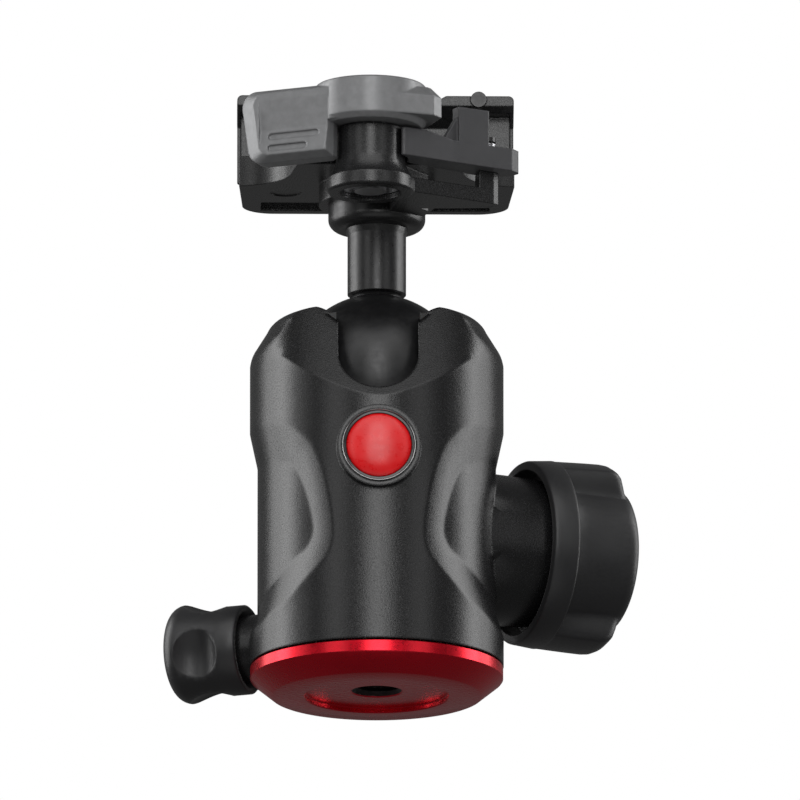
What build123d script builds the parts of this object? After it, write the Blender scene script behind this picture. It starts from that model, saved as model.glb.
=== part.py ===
from build123d import *
from math import cos, hypot, radians, sin, sqrt, tan
import os

# Tripod ball head, in millimetres.
# Origin: centre of the base disc's underside. +Z up, -Y towards the notch (front), +X right.
os.makedirs("parts", exist_ok=True)

# Fits and gaps
running_fit = 0.05  # radial, shaft in bore
ball_fit = 0.10  # radial, ball in its polymer seats
slip = 0.02  # between flat faces that rub or seat
play = 0.30  # between moving pieces that never touch

# Base disc
base_radius = 23.9
base_foot_radius = 19.8
base_cone_height = 3.3
base_height = 5.6
base_recess_radius = 13.6
base_recess_depth = 1.0
thread_radius = 3.97  # minor radius of the 3/8"-16 hole
thread_mouth_radius = 4.95
thread_top = 13.0
spigot_radius = 11.5
spigot_top = 17.3
circlip_thickness = 0.9
circlip_groove_depth = 0.9
circlip_reach = 1.9
circlip_gap = 5.0

# Bearing and thrust plates inside the housing
bearing_radius = 19.5
bearing_top = 15.0
bearing_rim_wall = 4.5
pan_washer_thickness = 0.56
pan_washer_inner_radius = 13.0
thrust_plate_thickness = 4.0
chamber_floor = 24.0

# Ball and stem
ball_radius = 17.0
ball_z = 60.8
neck_radius = 4.6
neck_foot_radius = 5.3
stem_shaft_radius = 4.1
sleeve_radius = 5.55
sleeve_bottom = 78.0
collar_radius = 9.2
collar_bottom = 90.7
collar_top = 95.5

# Housing
body_radius = 24.0
shoulder_z = 64.8
shoulder_radius = 20.9
shoulder_top = 70.0
crown_radius = 17.3
rim_z = 72.6
rim_radius = 15.2
chamber_radius = 17.4
ring_bottom = 64.5
ring_top = 71.0
notch_half_width = 7.6
notch_mouth_half_width = 11.8
notch_flare_z = 69.2
brow_z = 52.9  # where the inclined brow leaves the front of the body
brow_slope = 2.0  # rise of the brow for each millimetre back
pad_step = 0.75
pad_core_step = 0.70

# Badge on the front
badge_z = 42.8
badge_boss_radius = 7.9
badge_boss_front = body_radius + 1.5  # distance of the boss face in front of the axis
bezel_radius = 6.95
dome_radius = 6.15
dome_height = 1.1

# Ball lock: knob, screw, wedge, piston
lock_angle = 22.0  # the knob's axis points right and this far to the back
lock_z = 30.7
lock_boss_radius = 14.8
lock_boss_taper = 2.2
lock_boss_end = 33.0
lock_knob_start = 29.4
lock_knob_length = 18.6
lock_rim_radius = 17.2
lock_rim_wall = 1.4
lock_band_length = 4.5
lock_lobe_radius = 18.9
lock_waist_radius = 13.8
lock_scallop_radius = 45.0
lobe_count = 4
lock_screw_radius = 4.0
lock_tip_radius = 3.0
lock_bush_radius = 6.5
lock_cap_radius = 8.5
cap_thickness = 1.6
lock_cap_sink = 0.6
pan_cap_sink = 0.4
wedge_half_width = 6.5
wedge_inner_end = -11.0
wedge_outer_end = 12.0
wedge_mid_z = 34.5
wedge_angle = 12.0
wedge_socket_depth = 7.5
piston_bottom = 31.0
piston_floor = 44.0
piston_rim = 49.0
piston_wall = 1.8
piston_relief = 1.2  # room under the ball in the piston's floor
cup_bottom = 45.6
cup_top = 50.2
cup_bore_radius = 8.5
disc_spring_thickness = 0.5

# Pan lock: knob, screw, brake shoe
pan_angle = 21.7  # the knob's axis points left and this far to the back
pan_z = 11.3
pan_boss_radius = 6.5
pan_boss_end = 27.4
pan_knob_start = 25.8
pan_knob_length = 14.7
pan_rim_radius = 8.5
pan_rim_wall = 1.1
pan_band_length = 3.6
pan_lobe_radius = 9.4
pan_waist_radius = 6.9
pan_scallop_radius = 14.0
pan_screw_radius = 2.5
pan_tip_radius = 1.6
pan_shoe_radius = 3.0
pan_shoe_length = 3.0
pan_cap_radius = 4.2

# Receiver casting
receiver_half_width = 26.1
receiver_side_taper = 1.1
receiver_back = 22.0
receiver_front = 17.0
floor_bottom = 99.4
floor_thickness = 5.8
floor_top = floor_bottom + floor_thickness
rear_corner_radius = 6.0
scoop_side_y = 0.4
scoop_middle_x = 19.4
scoop_middle_y = -3.0
scoop_end_x = 16.2
scoop_end_y = -10.5
slot_front = 13.0
slot_back = 19.6
slot_half_width = 21.8
ejector_x = 17.2
ejector_y = 5.4
jaw_height = 15.5
jaw_top = floor_top + jaw_height
jaw_half_width = 26.3
jaw_corner_radius = 3.5
jaw_lip_y = 14.2
jaw_lip_height = 1.9
jaw_undercut_height = 5.6
jaw_root_y = 17.5
jaw_dip = 0.6
jaw_dip_half_width = 12.4
jaw_cheek = 0.7
jaw_pocket_x = 23.45
jaw_pocket_height = 12.4
jaw_rear_wall = 3.6
jaw_pin_radius = 1.5
jaw_pin_x = 19.6
jaw_pin_z = jaw_top - 0.7
hub_pad_radius = 11.0
lever_x = -1.6
lever_y = -24.0
lever_boss_radius = 6.5
lever_boss_height = 12.2
lever_boss_top = floor_top - 1.0
lever_boss_bottom = lever_boss_top - lever_boss_height
boss_flange_radius = 8.2
boss_flange_top = lever_boss_bottom + 2.6
boss_blend_height = 4.4
boss_recess_radius = 5.7
boss_recess_top = lever_boss_bottom + 6.4
wing_thickness = 2.8
wing_bottom = 92.3
wing_top = wing_bottom + 6.2
wing_end_x = 22.7
wing_front_y = -15.0
wing_back_y = -11.8

# Lever, catch, trigger
hub_radius = 10.6
hub_bottom = lever_boss_top + play
hub_top = hub_bottom + 8.4
hub_crown = 0.4  # rise of the hub's domed top
handle_angle = 156.0
handle_length = 23.6
handle_start = 4.4
handle_front = 9.6  # front face of the tab, in front of the pivot's radial line
handle_thickness = 5.4
handle_bevel = 2.2
handle_top = hub_top - 0.9
handle_bottom = handle_top - 14.1
handle_corner_radius = 3.0
dish_start = 4.6
dish_length = 14.2
dish_depth = 0.6
dish_crease_z = handle_bottom + 5.9
groove_width = 1.2
groove_depth = 0.4
groove_end = 17.1
upper_groove_z = handle_bottom + 4.6
lower_groove_z = handle_bottom + 2.3
nose_angle = 19.5
nose_length = 11.0
nose_back = 2.0
nose_bottom = floor_top + play
nose_top = nose_bottom + 5.8
nose_bevel = 2.0
lever_pin_radius = 3.0
catch_x = 20.6
catch_y = -13.6
catch_thickness = 4.28
catch_pin_radius = 1.1
catch_post_top = 109.5
trigger_x = -6.0
trigger_y = -8.6
trigger_radius = 1.6
trigger_height = 2.0

# Planes of the two knob axes: local z runs outwards, local y is up
lock_out = Vector(cos(radians(lock_angle)), sin(radians(lock_angle)), 0)
lock_across = Vector(-sin(radians(lock_angle)), cos(radians(lock_angle)), 0)
lock_plane = Plane(origin=(0, 0, lock_z), x_dir=lock_across, z_dir=lock_out)
pan_out = Vector(-cos(radians(pan_angle)), sin(radians(pan_angle)), 0)
pan_across = Vector(-sin(radians(pan_angle)), -cos(radians(pan_angle)), 0)
pan_plane = Plane(origin=(0, 0, pan_z), x_dir=pan_across, z_dir=pan_out)
badge_plane = Plane(origin=(0, 0, badge_z), x_dir=(1, 0, 0), z_dir=(0, -1, 0))


def side_of(knob_plane, angle):
    """Plane through a knob's axis: local x points away from the axis at this angle, local y outwards."""
    away = knob_plane.x_dir * cos(radians(angle)) + knob_plane.y_dir * sin(radians(angle))
    return Plane(origin=knob_plane.origin, x_dir=away, z_dir=away.cross(knob_plane.z_dir))


# ---------------------------------------------------------------- base disc
# Turned disc with the tripod thread; its spigot carries the housing and ends in a circlip groove.
body_bottom = base_height + play
bearing_bottom = base_height + pan_washer_thickness + 2 * slip
groove_bottom = bearing_top + running_fit
groove_top = groove_bottom + circlip_thickness + 2 * slip
groove_radius = spigot_radius - circlip_groove_depth
thread_start = base_recess_depth + thread_mouth_radius - thread_radius
with BuildPart() as base_disc:
    with BuildSketch(Plane.XZ):
        with BuildLine():
            Polyline(
                (0, thread_top + thread_radius / 2),
                (thread_radius, thread_top),
                (thread_radius, thread_start),
                (thread_mouth_radius, base_recess_depth),
                (base_recess_radius, base_recess_depth),
                (base_recess_radius, 0),
                (base_foot_radius, 0),
                (base_radius, base_cone_height),
                (base_radius, base_height),
                (spigot_radius, base_height),
                (spigot_radius, groove_bottom),
                (groove_radius, groove_bottom),
                (groove_radius, groove_top),
                (spigot_radius, groove_top),
                (spigot_radius, spigot_top),
                (0, spigot_top),
                close=True,
            )
        make_face()
    revolve(axis=Axis.Z)
base_disc.part.label = "base_disc"
export_step(base_disc.part, "parts/base_disc.step")

# Spring steel circlip in the spigot's groove, over the bearing plate.
with BuildPart() as pan_circlip:
    with BuildSketch(Plane.XY.offset(groove_bottom + slip)):
        Circle(spigot_radius + circlip_reach)
        Circle(groove_radius + slip, mode=Mode.SUBTRACT)
        with Locations((0, spigot_radius)):
            Rectangle(circlip_gap, 2 * (circlip_reach + circlip_groove_depth + 1), mode=Mode.SUBTRACT)
    extrude(amount=circlip_thickness)
pan_circlip.part.label = "pan_circlip"
export_step(pan_circlip.part, "parts/pan_circlip.step")

# Polymer washer that the bearing plate turns on.
with BuildPart() as pan_washer:
    with BuildSketch(Plane.XY.offset(base_height + slip)):
        Circle(bearing_radius - play)
        Circle(pan_washer_inner_radius, mode=Mode.SUBTRACT)
    extrude(amount=pan_washer_thickness)
pan_washer.part.label = "pan_washer"
export_step(pan_washer.part, "parts/pan_washer.step")

# Bearing plate: screwed into the housing from below, it runs on the spigot and holds the thrust plate.
thrust_bottom = chamber_floor - thrust_plate_thickness
with BuildPart() as bearing_plate:
    with BuildSketch(Plane.XY.offset(bearing_bottom)):
        Circle(bearing_radius - slip)
        Circle(spigot_radius + running_fit, mode=Mode.SUBTRACT)
    extrude(amount=bearing_top - bearing_bottom)
    with BuildSketch(Plane.XY.offset(bearing_top)):
        Circle(bearing_radius - slip)
        Circle(bearing_radius - bearing_rim_wall, mode=Mode.SUBTRACT)
    extrude(amount=thrust_bottom - slip - bearing_top)
    with BuildSketch(pan_plane):
        Circle(pan_shoe_radius + running_fit)
    extrude(amount=body_radius, mode=Mode.SUBTRACT)
bearing_plate.part.label = "bearing_plate"
export_step(bearing_plate.part, "parts/bearing_plate.step")

# Hardened disc under the wedge, clamped between the housing's step and the bearing plate.
with BuildPart() as thrust_plate:
    with BuildSketch(Plane.XY.offset(thrust_bottom)):
        Circle(bearing_radius - slip)
    extrude(amount=thrust_plate_thickness - slip)
thrust_plate.part.label = "thrust_plate"
export_step(thrust_plate.part, "parts/thrust_plate.step")

# ---------------------------------------------------------------- housing
# Side pads: two stepped hollows wrap round each side between a front and a back contour.
# The core of each level leaves the body's own radius at the top and bottom of the pad.
pad_radius = body_radius - pad_step
pad_core_radius = pad_radius - pad_core_step
with BuildPart() as outer_pads:
    with BuildSketch(Plane.XZ):
        with BuildLine():
            outer_edge = Spline(
                (-26.0, 51.2), (-19.5, 49.4), (-12.3, 42.6), (-8.9, 29.0), (-11.4, 21.6), (-17.4, 16.2), (-26.0, 10.6)
            )
            Polyline(outer_edge @ 1, (-30, 10.6), (-30, 51.2), outer_edge @ 0)
        make_face()
        mirror(about=Plane.YZ)
    extrude(amount=body_radius + 6, both=True)
    with BuildSketch(Plane.XZ):
        with BuildLine():
            Polyline(
                (0, 0), (body_radius, 0), (body_radius, 11.6), (pad_radius, 15.6), (pad_radius, 46.2),
                (body_radius, 50.4), (body_radius, 60), (0, 60), close=True
            )
        make_face()
    revolve(axis=Axis.Z, mode=Mode.SUBTRACT)

with BuildPart() as inner_pads:
    with BuildSketch(Plane.XZ):
        with BuildLine():
            inner_edge = Spline(
                (-26.0, 44.2), (-20.0, 42.4), (-14.8, 38.2), (-12.4, 29.5), (-14.2, 24.0), (-19.3, 19.6), (-26.0, 15.0)
            )
            Polyline(inner_edge @ 1, (-30, 15.0), (-30, 44.2), inner_edge @ 0)
        make_face()
        mirror(about=Plane.YZ)
    extrude(amount=body_radius + 6, both=True)
    with BuildSketch(Plane.XZ):
        with BuildLine():
            Polyline(
                (0, 0), (pad_radius, 0), (pad_radius, 17.0), (pad_core_radius, 21.0), (pad_core_radius, 40.0),
                (pad_radius, 43.6), (pad_radius, 60), (0, 60), close=True
            )
        make_face()
    revolve(axis=Axis.Z, mode=Mode.SUBTRACT)

# Brow: the front of the top leans back; an arched line swept up and back bounds it.
brow_start = body_radius + 6.0
brow_drop = (brow_start - body_radius) * brow_slope
with BuildPart() as brow_cut:
    with BuildSketch(Plane.XZ.offset(brow_start)):
        with BuildLine():
            arch = Spline(
                (-25.0, brow_z - 27.9 - brow_drop),
                (-22.5, brow_z - 19.6 - brow_drop),
                (-17.2, brow_z - 6.0 - brow_drop),
                (-8.8, brow_z - 0.6 - brow_drop),
                (0, brow_z - brow_drop),
                (8.8, brow_z - 0.6 - brow_drop),
                (17.2, brow_z - 6.0 - brow_drop),
                (22.5, brow_z - 19.6 - brow_drop),
                (25.0, brow_z - 27.9 - brow_drop),
            )
            Polyline(
                arch @ 1,
                (brow_start + 2, brow_z - 27.9 - brow_drop),
                (brow_start + 2, brow_z + 7.0),
                (-brow_start - 2, brow_z + 7.0),
                (-brow_start - 2, brow_z - 27.9 - brow_drop),
                arch @ 0,
            )
        make_face()
    extrude(amount=hypot(1, brow_slope) * 40, dir=(0, 1, brow_slope))

notch_bottom = ball_z - sleeve_radius - 2 * play
notch_round_z = notch_bottom + notch_half_width
lip_radius = sqrt((ball_radius + play) ** 2 - (ring_top - ball_z) ** 2)
lock_bush_start = chamber_radius + slip
with BuildPart() as body_housing:
    with BuildSketch(Plane.XZ):
        with BuildLine():
            Polyline(
                (crown_radius, rim_z),
                (0, rim_z),
                (0, body_bottom),
                (body_radius, body_bottom),
                (body_radius, shoulder_z - 1.4),
            )
            ThreePointArc(
                (body_radius, shoulder_z - 1.4),
                (body_radius - 0.17, shoulder_z - 0.04),
                (body_radius - 0.7, shoulder_z + 1.3),
            )
            Line((body_radius - 0.7, shoulder_z + 1.3), (shoulder_radius, shoulder_top))
            ThreePointArc((shoulder_radius, shoulder_top), (crown_radius + 2.15, rim_z - 0.75), (crown_radius, rim_z))
        make_face()
    revolve(axis=Axis.Z)
    add(outer_pads.part, mode=Mode.SUBTRACT)
    add(inner_pads.part, mode=Mode.SUBTRACT)
    add(brow_cut.part, mode=Mode.SUBTRACT)
    # bosses for the badge and both knobs
    with BuildSketch(badge_plane.offset(chamber_radius)):
        Circle(badge_boss_radius)
    extrude(amount=badge_boss_front - chamber_radius)
    with BuildSketch(lock_plane.offset(wedge_outer_end)):
        Circle(lock_boss_radius)
    extrude(amount=lock_boss_end - wedge_outer_end, taper=lock_boss_taper)
    with BuildSketch(pan_plane.offset(bearing_radius)):
        Circle(pan_boss_radius)
    extrude(amount=pan_boss_end - bearing_radius)
    # the bosses stay clear of the base disc
    with BuildSketch(Plane.XY):
        Circle(body_radius + play)
    extrude(amount=body_bottom, mode=Mode.SUBTRACT)
    # bore for the plates, ball chamber and the lip that keeps the ball in
    with BuildSketch(Plane.XZ):
        with BuildLine():
            Polyline(
                (0, 0),
                (bearing_radius, 0),
                (bearing_radius, chamber_floor),
                (chamber_radius, chamber_floor),
                (chamber_radius, ring_top),
                (lip_radius, ring_top),
                (rim_radius, rim_z),
                (rim_radius, rim_z + 1),
                (0, rim_z + 1),
                close=True,
            )
        make_face()
    revolve(axis=Axis.Z, mode=Mode.SUBTRACT)
    # notch that lets the stem drop to the horizontal
    with BuildSketch(Plane.XZ) as notch_outline:
        with BuildLine():
            right_wall = Line((notch_half_width, notch_round_z), (notch_half_width, notch_flare_z))
            right_flare = ThreePointArc(
                right_wall @ 1,
                (notch_half_width + 1.3, rim_z - 1.6),
                (notch_mouth_half_width, rim_z),
            )
            Polyline(
                right_flare @ 1,
                (notch_mouth_half_width, rim_z + 2),
                (-notch_mouth_half_width, rim_z + 2),
                (-notch_mouth_half_width, rim_z),
            )
            left_flare = ThreePointArc(
                (-notch_mouth_half_width, rim_z),
                (-notch_half_width - 1.3, rim_z - 1.6),
                (-notch_half_width, notch_flare_z),
            )
            left_wall = Line(left_flare @ 1, (-notch_half_width, notch_round_z))
            ThreePointArc(left_wall @ 1, (0, notch_bottom), right_wall @ 0)
        make_face()
    extrude(amount=body_radius + 4, mode=Mode.SUBTRACT)
    # seats for the lock bush, the pan screw and the badge
    with BuildSketch(lock_plane):
        Circle(lock_bush_radius)
    extrude(amount=lock_boss_end + 1, mode=Mode.SUBTRACT)
    with BuildSketch(pan_plane):
        Circle(pan_screw_radius + running_fit)
    extrude(amount=pan_boss_end + 1, mode=Mode.SUBTRACT)
    with BuildSketch(badge_plane.offset(badge_boss_front)):
        Circle(bezel_radius)
    extrude(amount=-1.8, mode=Mode.SUBTRACT)
body_housing.part.label = "body_housing"
export_step(body_housing.part, "parts/body_housing.step")

# Polymer ring under the lip: the ball is pressed up against it. The notch cuts it open.
with BuildPart() as upper_ball_ring:
    with BuildSketch(Plane.XY.offset(ring_bottom)):
        Circle(chamber_radius - slip)
    extrude(amount=ring_top - slip - ring_bottom)
    with Locations((0, 0, ball_z)):
        Sphere(ball_radius + ball_fit, mode=Mode.SUBTRACT)
    with BuildSketch(Plane.XZ):
        with Locations((0, ball_z + notch_half_width)):
            Rectangle(2 * (notch_half_width + play), 4 * notch_half_width)
    extrude(amount=body_radius, mode=Mode.SUBTRACT)
upper_ball_ring.part.label = "upper_ball_ring"
export_step(upper_ball_ring.part, "parts/upper_ball_ring.step")

# Badge: a turned bezel pressed into the boss and a bare domed disc in it.
bezel_depth = 1.8
bezel_proud = 0.5
with BuildPart() as badge_bezel:
    with BuildSketch(badge_plane.offset(badge_boss_front - bezel_depth + slip)):
        Circle(bezel_radius - slip)
        Circle(dome_radius + slip, mode=Mode.SUBTRACT)
    extrude(amount=bezel_depth - slip + bezel_proud)
    chamfer(badge_bezel.edges().filter_by(GeomType.CIRCLE).group_by(Axis.Y)[0], length=0.3)
badge_bezel.part.label = "badge_bezel"
export_step(badge_bezel.part, "parts/badge_bezel.step")

dome_back = badge_boss_front - bezel_depth + slip
dome_edge = badge_boss_front + 0.1
dome_sphere = (dome_radius**2 + dome_height**2) / (2 * dome_height)
dome_middle = sqrt(dome_sphere**2 - (dome_radius / 2) ** 2) - dome_sphere + dome_height
with BuildPart() as badge_dome:
    with BuildSketch(Plane.YZ):
        with BuildLine():
            Polyline(
                (-dome_edge - dome_height, badge_z),
                (-dome_back, badge_z),
                (-dome_back, badge_z + dome_radius),
                (-dome_edge, badge_z + dome_radius),
            )
            ThreePointArc(
                (-dome_edge, badge_z + dome_radius),
                (-dome_edge - dome_middle, badge_z + dome_radius / 2),
                (-dome_edge - dome_height, badge_z),
            )
        make_face()
    revolve(axis=Axis((0, 0, badge_z), (0, 1, 0)))
badge_dome.part.label = "badge_dome"
export_step(badge_dome.part, "parts/badge_dome.step")

# ---------------------------------------------------------------- ball lock
# Bronze bush: the lock screw's thread runs in it.
with BuildPart() as lock_bush:
    with BuildSketch(lock_plane.offset(lock_bush_start)):
        Circle(lock_bush_radius - slip)
        Circle(lock_screw_radius + running_fit, mode=Mode.SUBTRACT)
    extrude(amount=lock_boss_end - lock_bush_start)
lock_bush.part.label = "lock_bush"
export_step(lock_bush.part, "parts/lock_bush.step")

# Wedge: slides on the thrust plate, lifts the piston as the screw drives it inwards.
lock_side = Plane(origin=(0, 0, 0), x_dir=lock_out, z_dir=lock_out.cross(Vector(0, 0, 1)))
wedge_rise = tan(radians(wedge_angle))
with BuildPart() as lock_wedge:
    with BuildSketch(lock_side):
        with BuildLine():
            Polyline(
                (wedge_inner_end, chamber_floor + slip),
                (wedge_outer_end, chamber_floor + slip),
                (wedge_outer_end, wedge_mid_z + wedge_outer_end * wedge_rise),
                (wedge_inner_end, wedge_mid_z + wedge_inner_end * wedge_rise),
                close=True,
            )
        make_face()
    extrude(amount=wedge_half_width, both=True)
    with BuildSketch(lock_plane.offset(wedge_outer_end)):
        Circle(lock_tip_radius + running_fit)
    extrude(amount=-wedge_socket_depth, mode=Mode.SUBTRACT)
lock_wedge.part.label = "lock_wedge"
export_step(lock_wedge.part, "parts/lock_wedge.step")

# Piston: its inclined channel rides on the wedge, its cup carries the springs and the lower seat.
with BuildPart() as lock_piston:
    with BuildSketch(Plane.XY.offset(piston_bottom)):
        Circle(chamber_radius - running_fit)
    extrude(amount=piston_rim - piston_bottom)
    with BuildSketch(Plane.XY.offset(piston_floor)):
        Circle(chamber_radius - piston_wall)
    extrude(amount=piston_rim - piston_floor, mode=Mode.SUBTRACT)
    with BuildSketch(Plane.XY.offset(ball_z - ball_radius - piston_relief)):
        Circle(cup_bore_radius - 1)
    extrude(amount=piston_rim - piston_floor, mode=Mode.SUBTRACT)
    with BuildSketch(lock_side):
        with BuildLine():
            Polyline(
                (-body_radius, chamber_floor),
                (body_radius, chamber_floor),
                (body_radius, wedge_mid_z + running_fit + body_radius * wedge_rise),
                (-body_radius, wedge_mid_z + running_fit - body_radius * wedge_rise),
                close=True,
            )
        make_face()
    extrude(amount=wedge_half_width + running_fit, both=True, mode=Mode.SUBTRACT)
lock_piston.part.label = "lock_piston"
export_step(lock_piston.part, "parts/lock_piston.step")

# Two disc springs, back to back, under the lower seat.
spring_inner_radius = 9.0
spring_outer_radius = chamber_radius - piston_wall - play
spring_cone = (cup_bottom - slip - piston_floor - slip) / 2 - disc_spring_thickness
with BuildPart() as disc_springs:
    for bottom, rise in ((piston_floor + slip, spring_cone), (cup_bottom - slip - disc_spring_thickness, -spring_cone)):
        with BuildSketch(Plane.XZ):
            with BuildLine():
                Polyline(
                    (spring_outer_radius, bottom),
                    (spring_outer_radius, bottom + disc_spring_thickness),
                    (spring_inner_radius, bottom + disc_spring_thickness + rise),
                    (spring_inner_radius, bottom + rise),
                    close=True,
                )
            make_face()
        revolve(axis=Axis.Z)
disc_springs.part.label = "disc_springs"
export_step(disc_springs.part, "parts/disc_springs.step")

# Lower polymer seat, a ring with a spherical face.
with BuildPart() as lower_ball_cup:
    with BuildSketch(Plane.XY.offset(cup_bottom)):
        Circle(chamber_radius - piston_wall - running_fit)
        Circle(cup_bore_radius, mode=Mode.SUBTRACT)
    extrude(amount=cup_top - cup_bottom)
    with Locations((0, 0, ball_z)):
        Sphere(ball_radius + ball_fit, mode=Mode.SUBTRACT)
lower_ball_cup.part.label = "lower_ball_cup"
export_step(lower_ball_cup.part, "parts/lower_ball_cup.step")

# Lock screw: plain tip in the wedge, threaded shank, hex head sunk in the knob.
head_length = 5.0
lock_knob_end = lock_knob_start + lock_knob_length
lock_head_start = lock_knob_end - lock_cap_sink - cap_thickness - head_length - play
lock_hex_radius = 6.5
with BuildPart() as lock_screw:
    with BuildSketch(lock_plane.offset(wedge_outer_end - wedge_socket_depth + play)):
        Circle(lock_tip_radius)
    extrude(amount=wedge_socket_depth)
    with BuildSketch(lock_plane.offset(wedge_outer_end + slip)):
        Circle(lock_screw_radius)
    extrude(amount=lock_head_start - wedge_outer_end - slip)
    with BuildSketch(lock_plane.offset(lock_head_start)):
        RegularPolygon(radius=lock_hex_radius, side_count=6)
    extrude(amount=head_length)
lock_screw.part.label = "lock_screw"
export_step(lock_screw.part, "parts/lock_screw.step")

# Lock knob: a cupped rim over the boss, a plain band, then four wide scallops that deepen outwards.
lock_band_end = lock_knob_start + lock_band_length
with BuildPart() as lock_knob:
    with BuildSketch(side_of(lock_plane, 0)):
        with BuildLine():
            Polyline(
                (0, lock_knob_end - 0.6),
                (0, lock_boss_end + 0.6),
                (lock_rim_radius - lock_rim_wall, lock_boss_end + 0.6),
                (lock_rim_radius - lock_rim_wall, lock_knob_start),
                (lock_rim_radius - 0.4, lock_knob_start),
                (lock_rim_radius, lock_knob_start + 0.4),
                (lock_rim_radius, lock_band_end),
                (lock_rim_radius + 0.5, lock_band_end + 0.8),
                (lock_lobe_radius, lock_knob_end - 3.0),
            )
            ThreePointArc(
                (lock_lobe_radius, lock_knob_end - 3.0),
                (lock_lobe_radius - 0.9, lock_knob_end - 0.9),
                (lock_lobe_radius - 3.0, lock_knob_end),
            )
            Polyline(
                (lock_lobe_radius - 3.0, lock_knob_end),
                (lock_cap_radius + 1.0, lock_knob_end - 0.4),
                (0, lock_knob_end - 0.6),
            )
        make_face()
    revolve(axis=Axis(lock_plane.origin, lock_out))
    for lobe in range(lobe_count):
        scallop_side = side_of(lock_plane, lobe * 360 / lobe_count)
        with BuildSketch(scallop_side):
            with BuildLine():
                floor_line = Spline(
                    (lock_rim_radius + 0.2, lock_band_end + 0.2),
                    (lock_waist_radius + 1.7, lock_band_end + 4.0),
                    (lock_waist_radius, lock_knob_end + 0.1),
                )
                Polyline(
                    floor_line @ 1,
                    (lock_waist_radius + lock_scallop_radius, lock_knob_end + 0.1),
                    (lock_waist_radius + lock_scallop_radius, lock_band_end + 0.2),
                    floor_line @ 0,
                )
            make_face()
        scallop_origin = lock_plane.origin + scallop_side.x_dir * (lock_waist_radius + lock_scallop_radius)
        revolve(axis=Axis(scallop_origin, lock_out), mode=Mode.SUBTRACT)
    with BuildSketch(lock_plane.offset(lock_knob_start)):
        Circle(lock_screw_radius + slip)
    extrude(amount=lock_knob_length, mode=Mode.SUBTRACT)
    with BuildSketch(lock_plane.offset(lock_head_start)):
        RegularPolygon(radius=lock_hex_radius + slip, side_count=6)
    extrude(amount=lock_knob_length, mode=Mode.SUBTRACT)
    with BuildSketch(lock_plane.offset(lock_knob_end)):
        Circle(lock_cap_radius)
    extrude(amount=-cap_thickness - lock_cap_sink, mode=Mode.SUBTRACT)
lock_knob.part.label = "lock_knob"
export_step(lock_knob.part, "parts/lock_knob.step")

# Cap pressed into the knob's end, over the screw head.
with BuildPart() as lock_knob_cap:
    with BuildSketch(lock_plane.offset(lock_knob_end - lock_cap_sink - cap_thickness + slip)):
        Circle(lock_cap_radius - slip)
    extrude(amount=cap_thickness)
    chamfer(lock_knob_cap.faces().sort_by(Axis(lock_plane.origin, lock_out))[-1].edges(), length=0.3)
lock_knob_cap.part.label = "lock_knob_cap"
export_step(lock_knob_cap.part, "parts/lock_knob_cap.step")

# ---------------------------------------------------------------- pan lock
# Brake shoe: a brass pad that the screw presses on the spigot.
shoe_start = spigot_radius + running_fit
shoe_end = shoe_start + pan_shoe_length
with BuildPart() as pan_brake_shoe:
    with BuildSketch(pan_plane.offset(shoe_start)):
        Circle(pan_shoe_radius)
    extrude(amount=pan_shoe_length)
    with BuildSketch(pan_plane.offset(shoe_end)):
        Circle(pan_tip_radius + running_fit)
    extrude(amount=-pan_shoe_length / 2, mode=Mode.SUBTRACT)
pan_brake_shoe.part.label = "pan_brake_shoe"
export_step(pan_brake_shoe.part, "parts/pan_brake_shoe.step")

# Pan lock screw, threaded through the housing's wall.
pan_knob_end = pan_knob_start + pan_knob_length
pan_head_length = 3.5
pan_hex_radius = 3.6
pan_head_start = pan_knob_end - pan_cap_sink - cap_thickness - pan_head_length - play
with BuildPart() as pan_lock_screw:
    with BuildSketch(pan_plane.offset(shoe_end - pan_shoe_length / 2 + slip)):
        Circle(pan_tip_radius)
    extrude(amount=pan_shoe_length / 2)
    with BuildSketch(pan_plane.offset(shoe_end + slip)):
        Circle(pan_screw_radius)
    extrude(amount=pan_head_start - shoe_end - slip)
    with BuildSketch(pan_plane.offset(pan_head_start)):
        RegularPolygon(radius=pan_hex_radius, side_count=6)
    extrude(amount=pan_head_length)
pan_lock_screw.part.label = "pan_lock_screw"
export_step(pan_lock_screw.part, "parts/pan_lock_screw.step")

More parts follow.
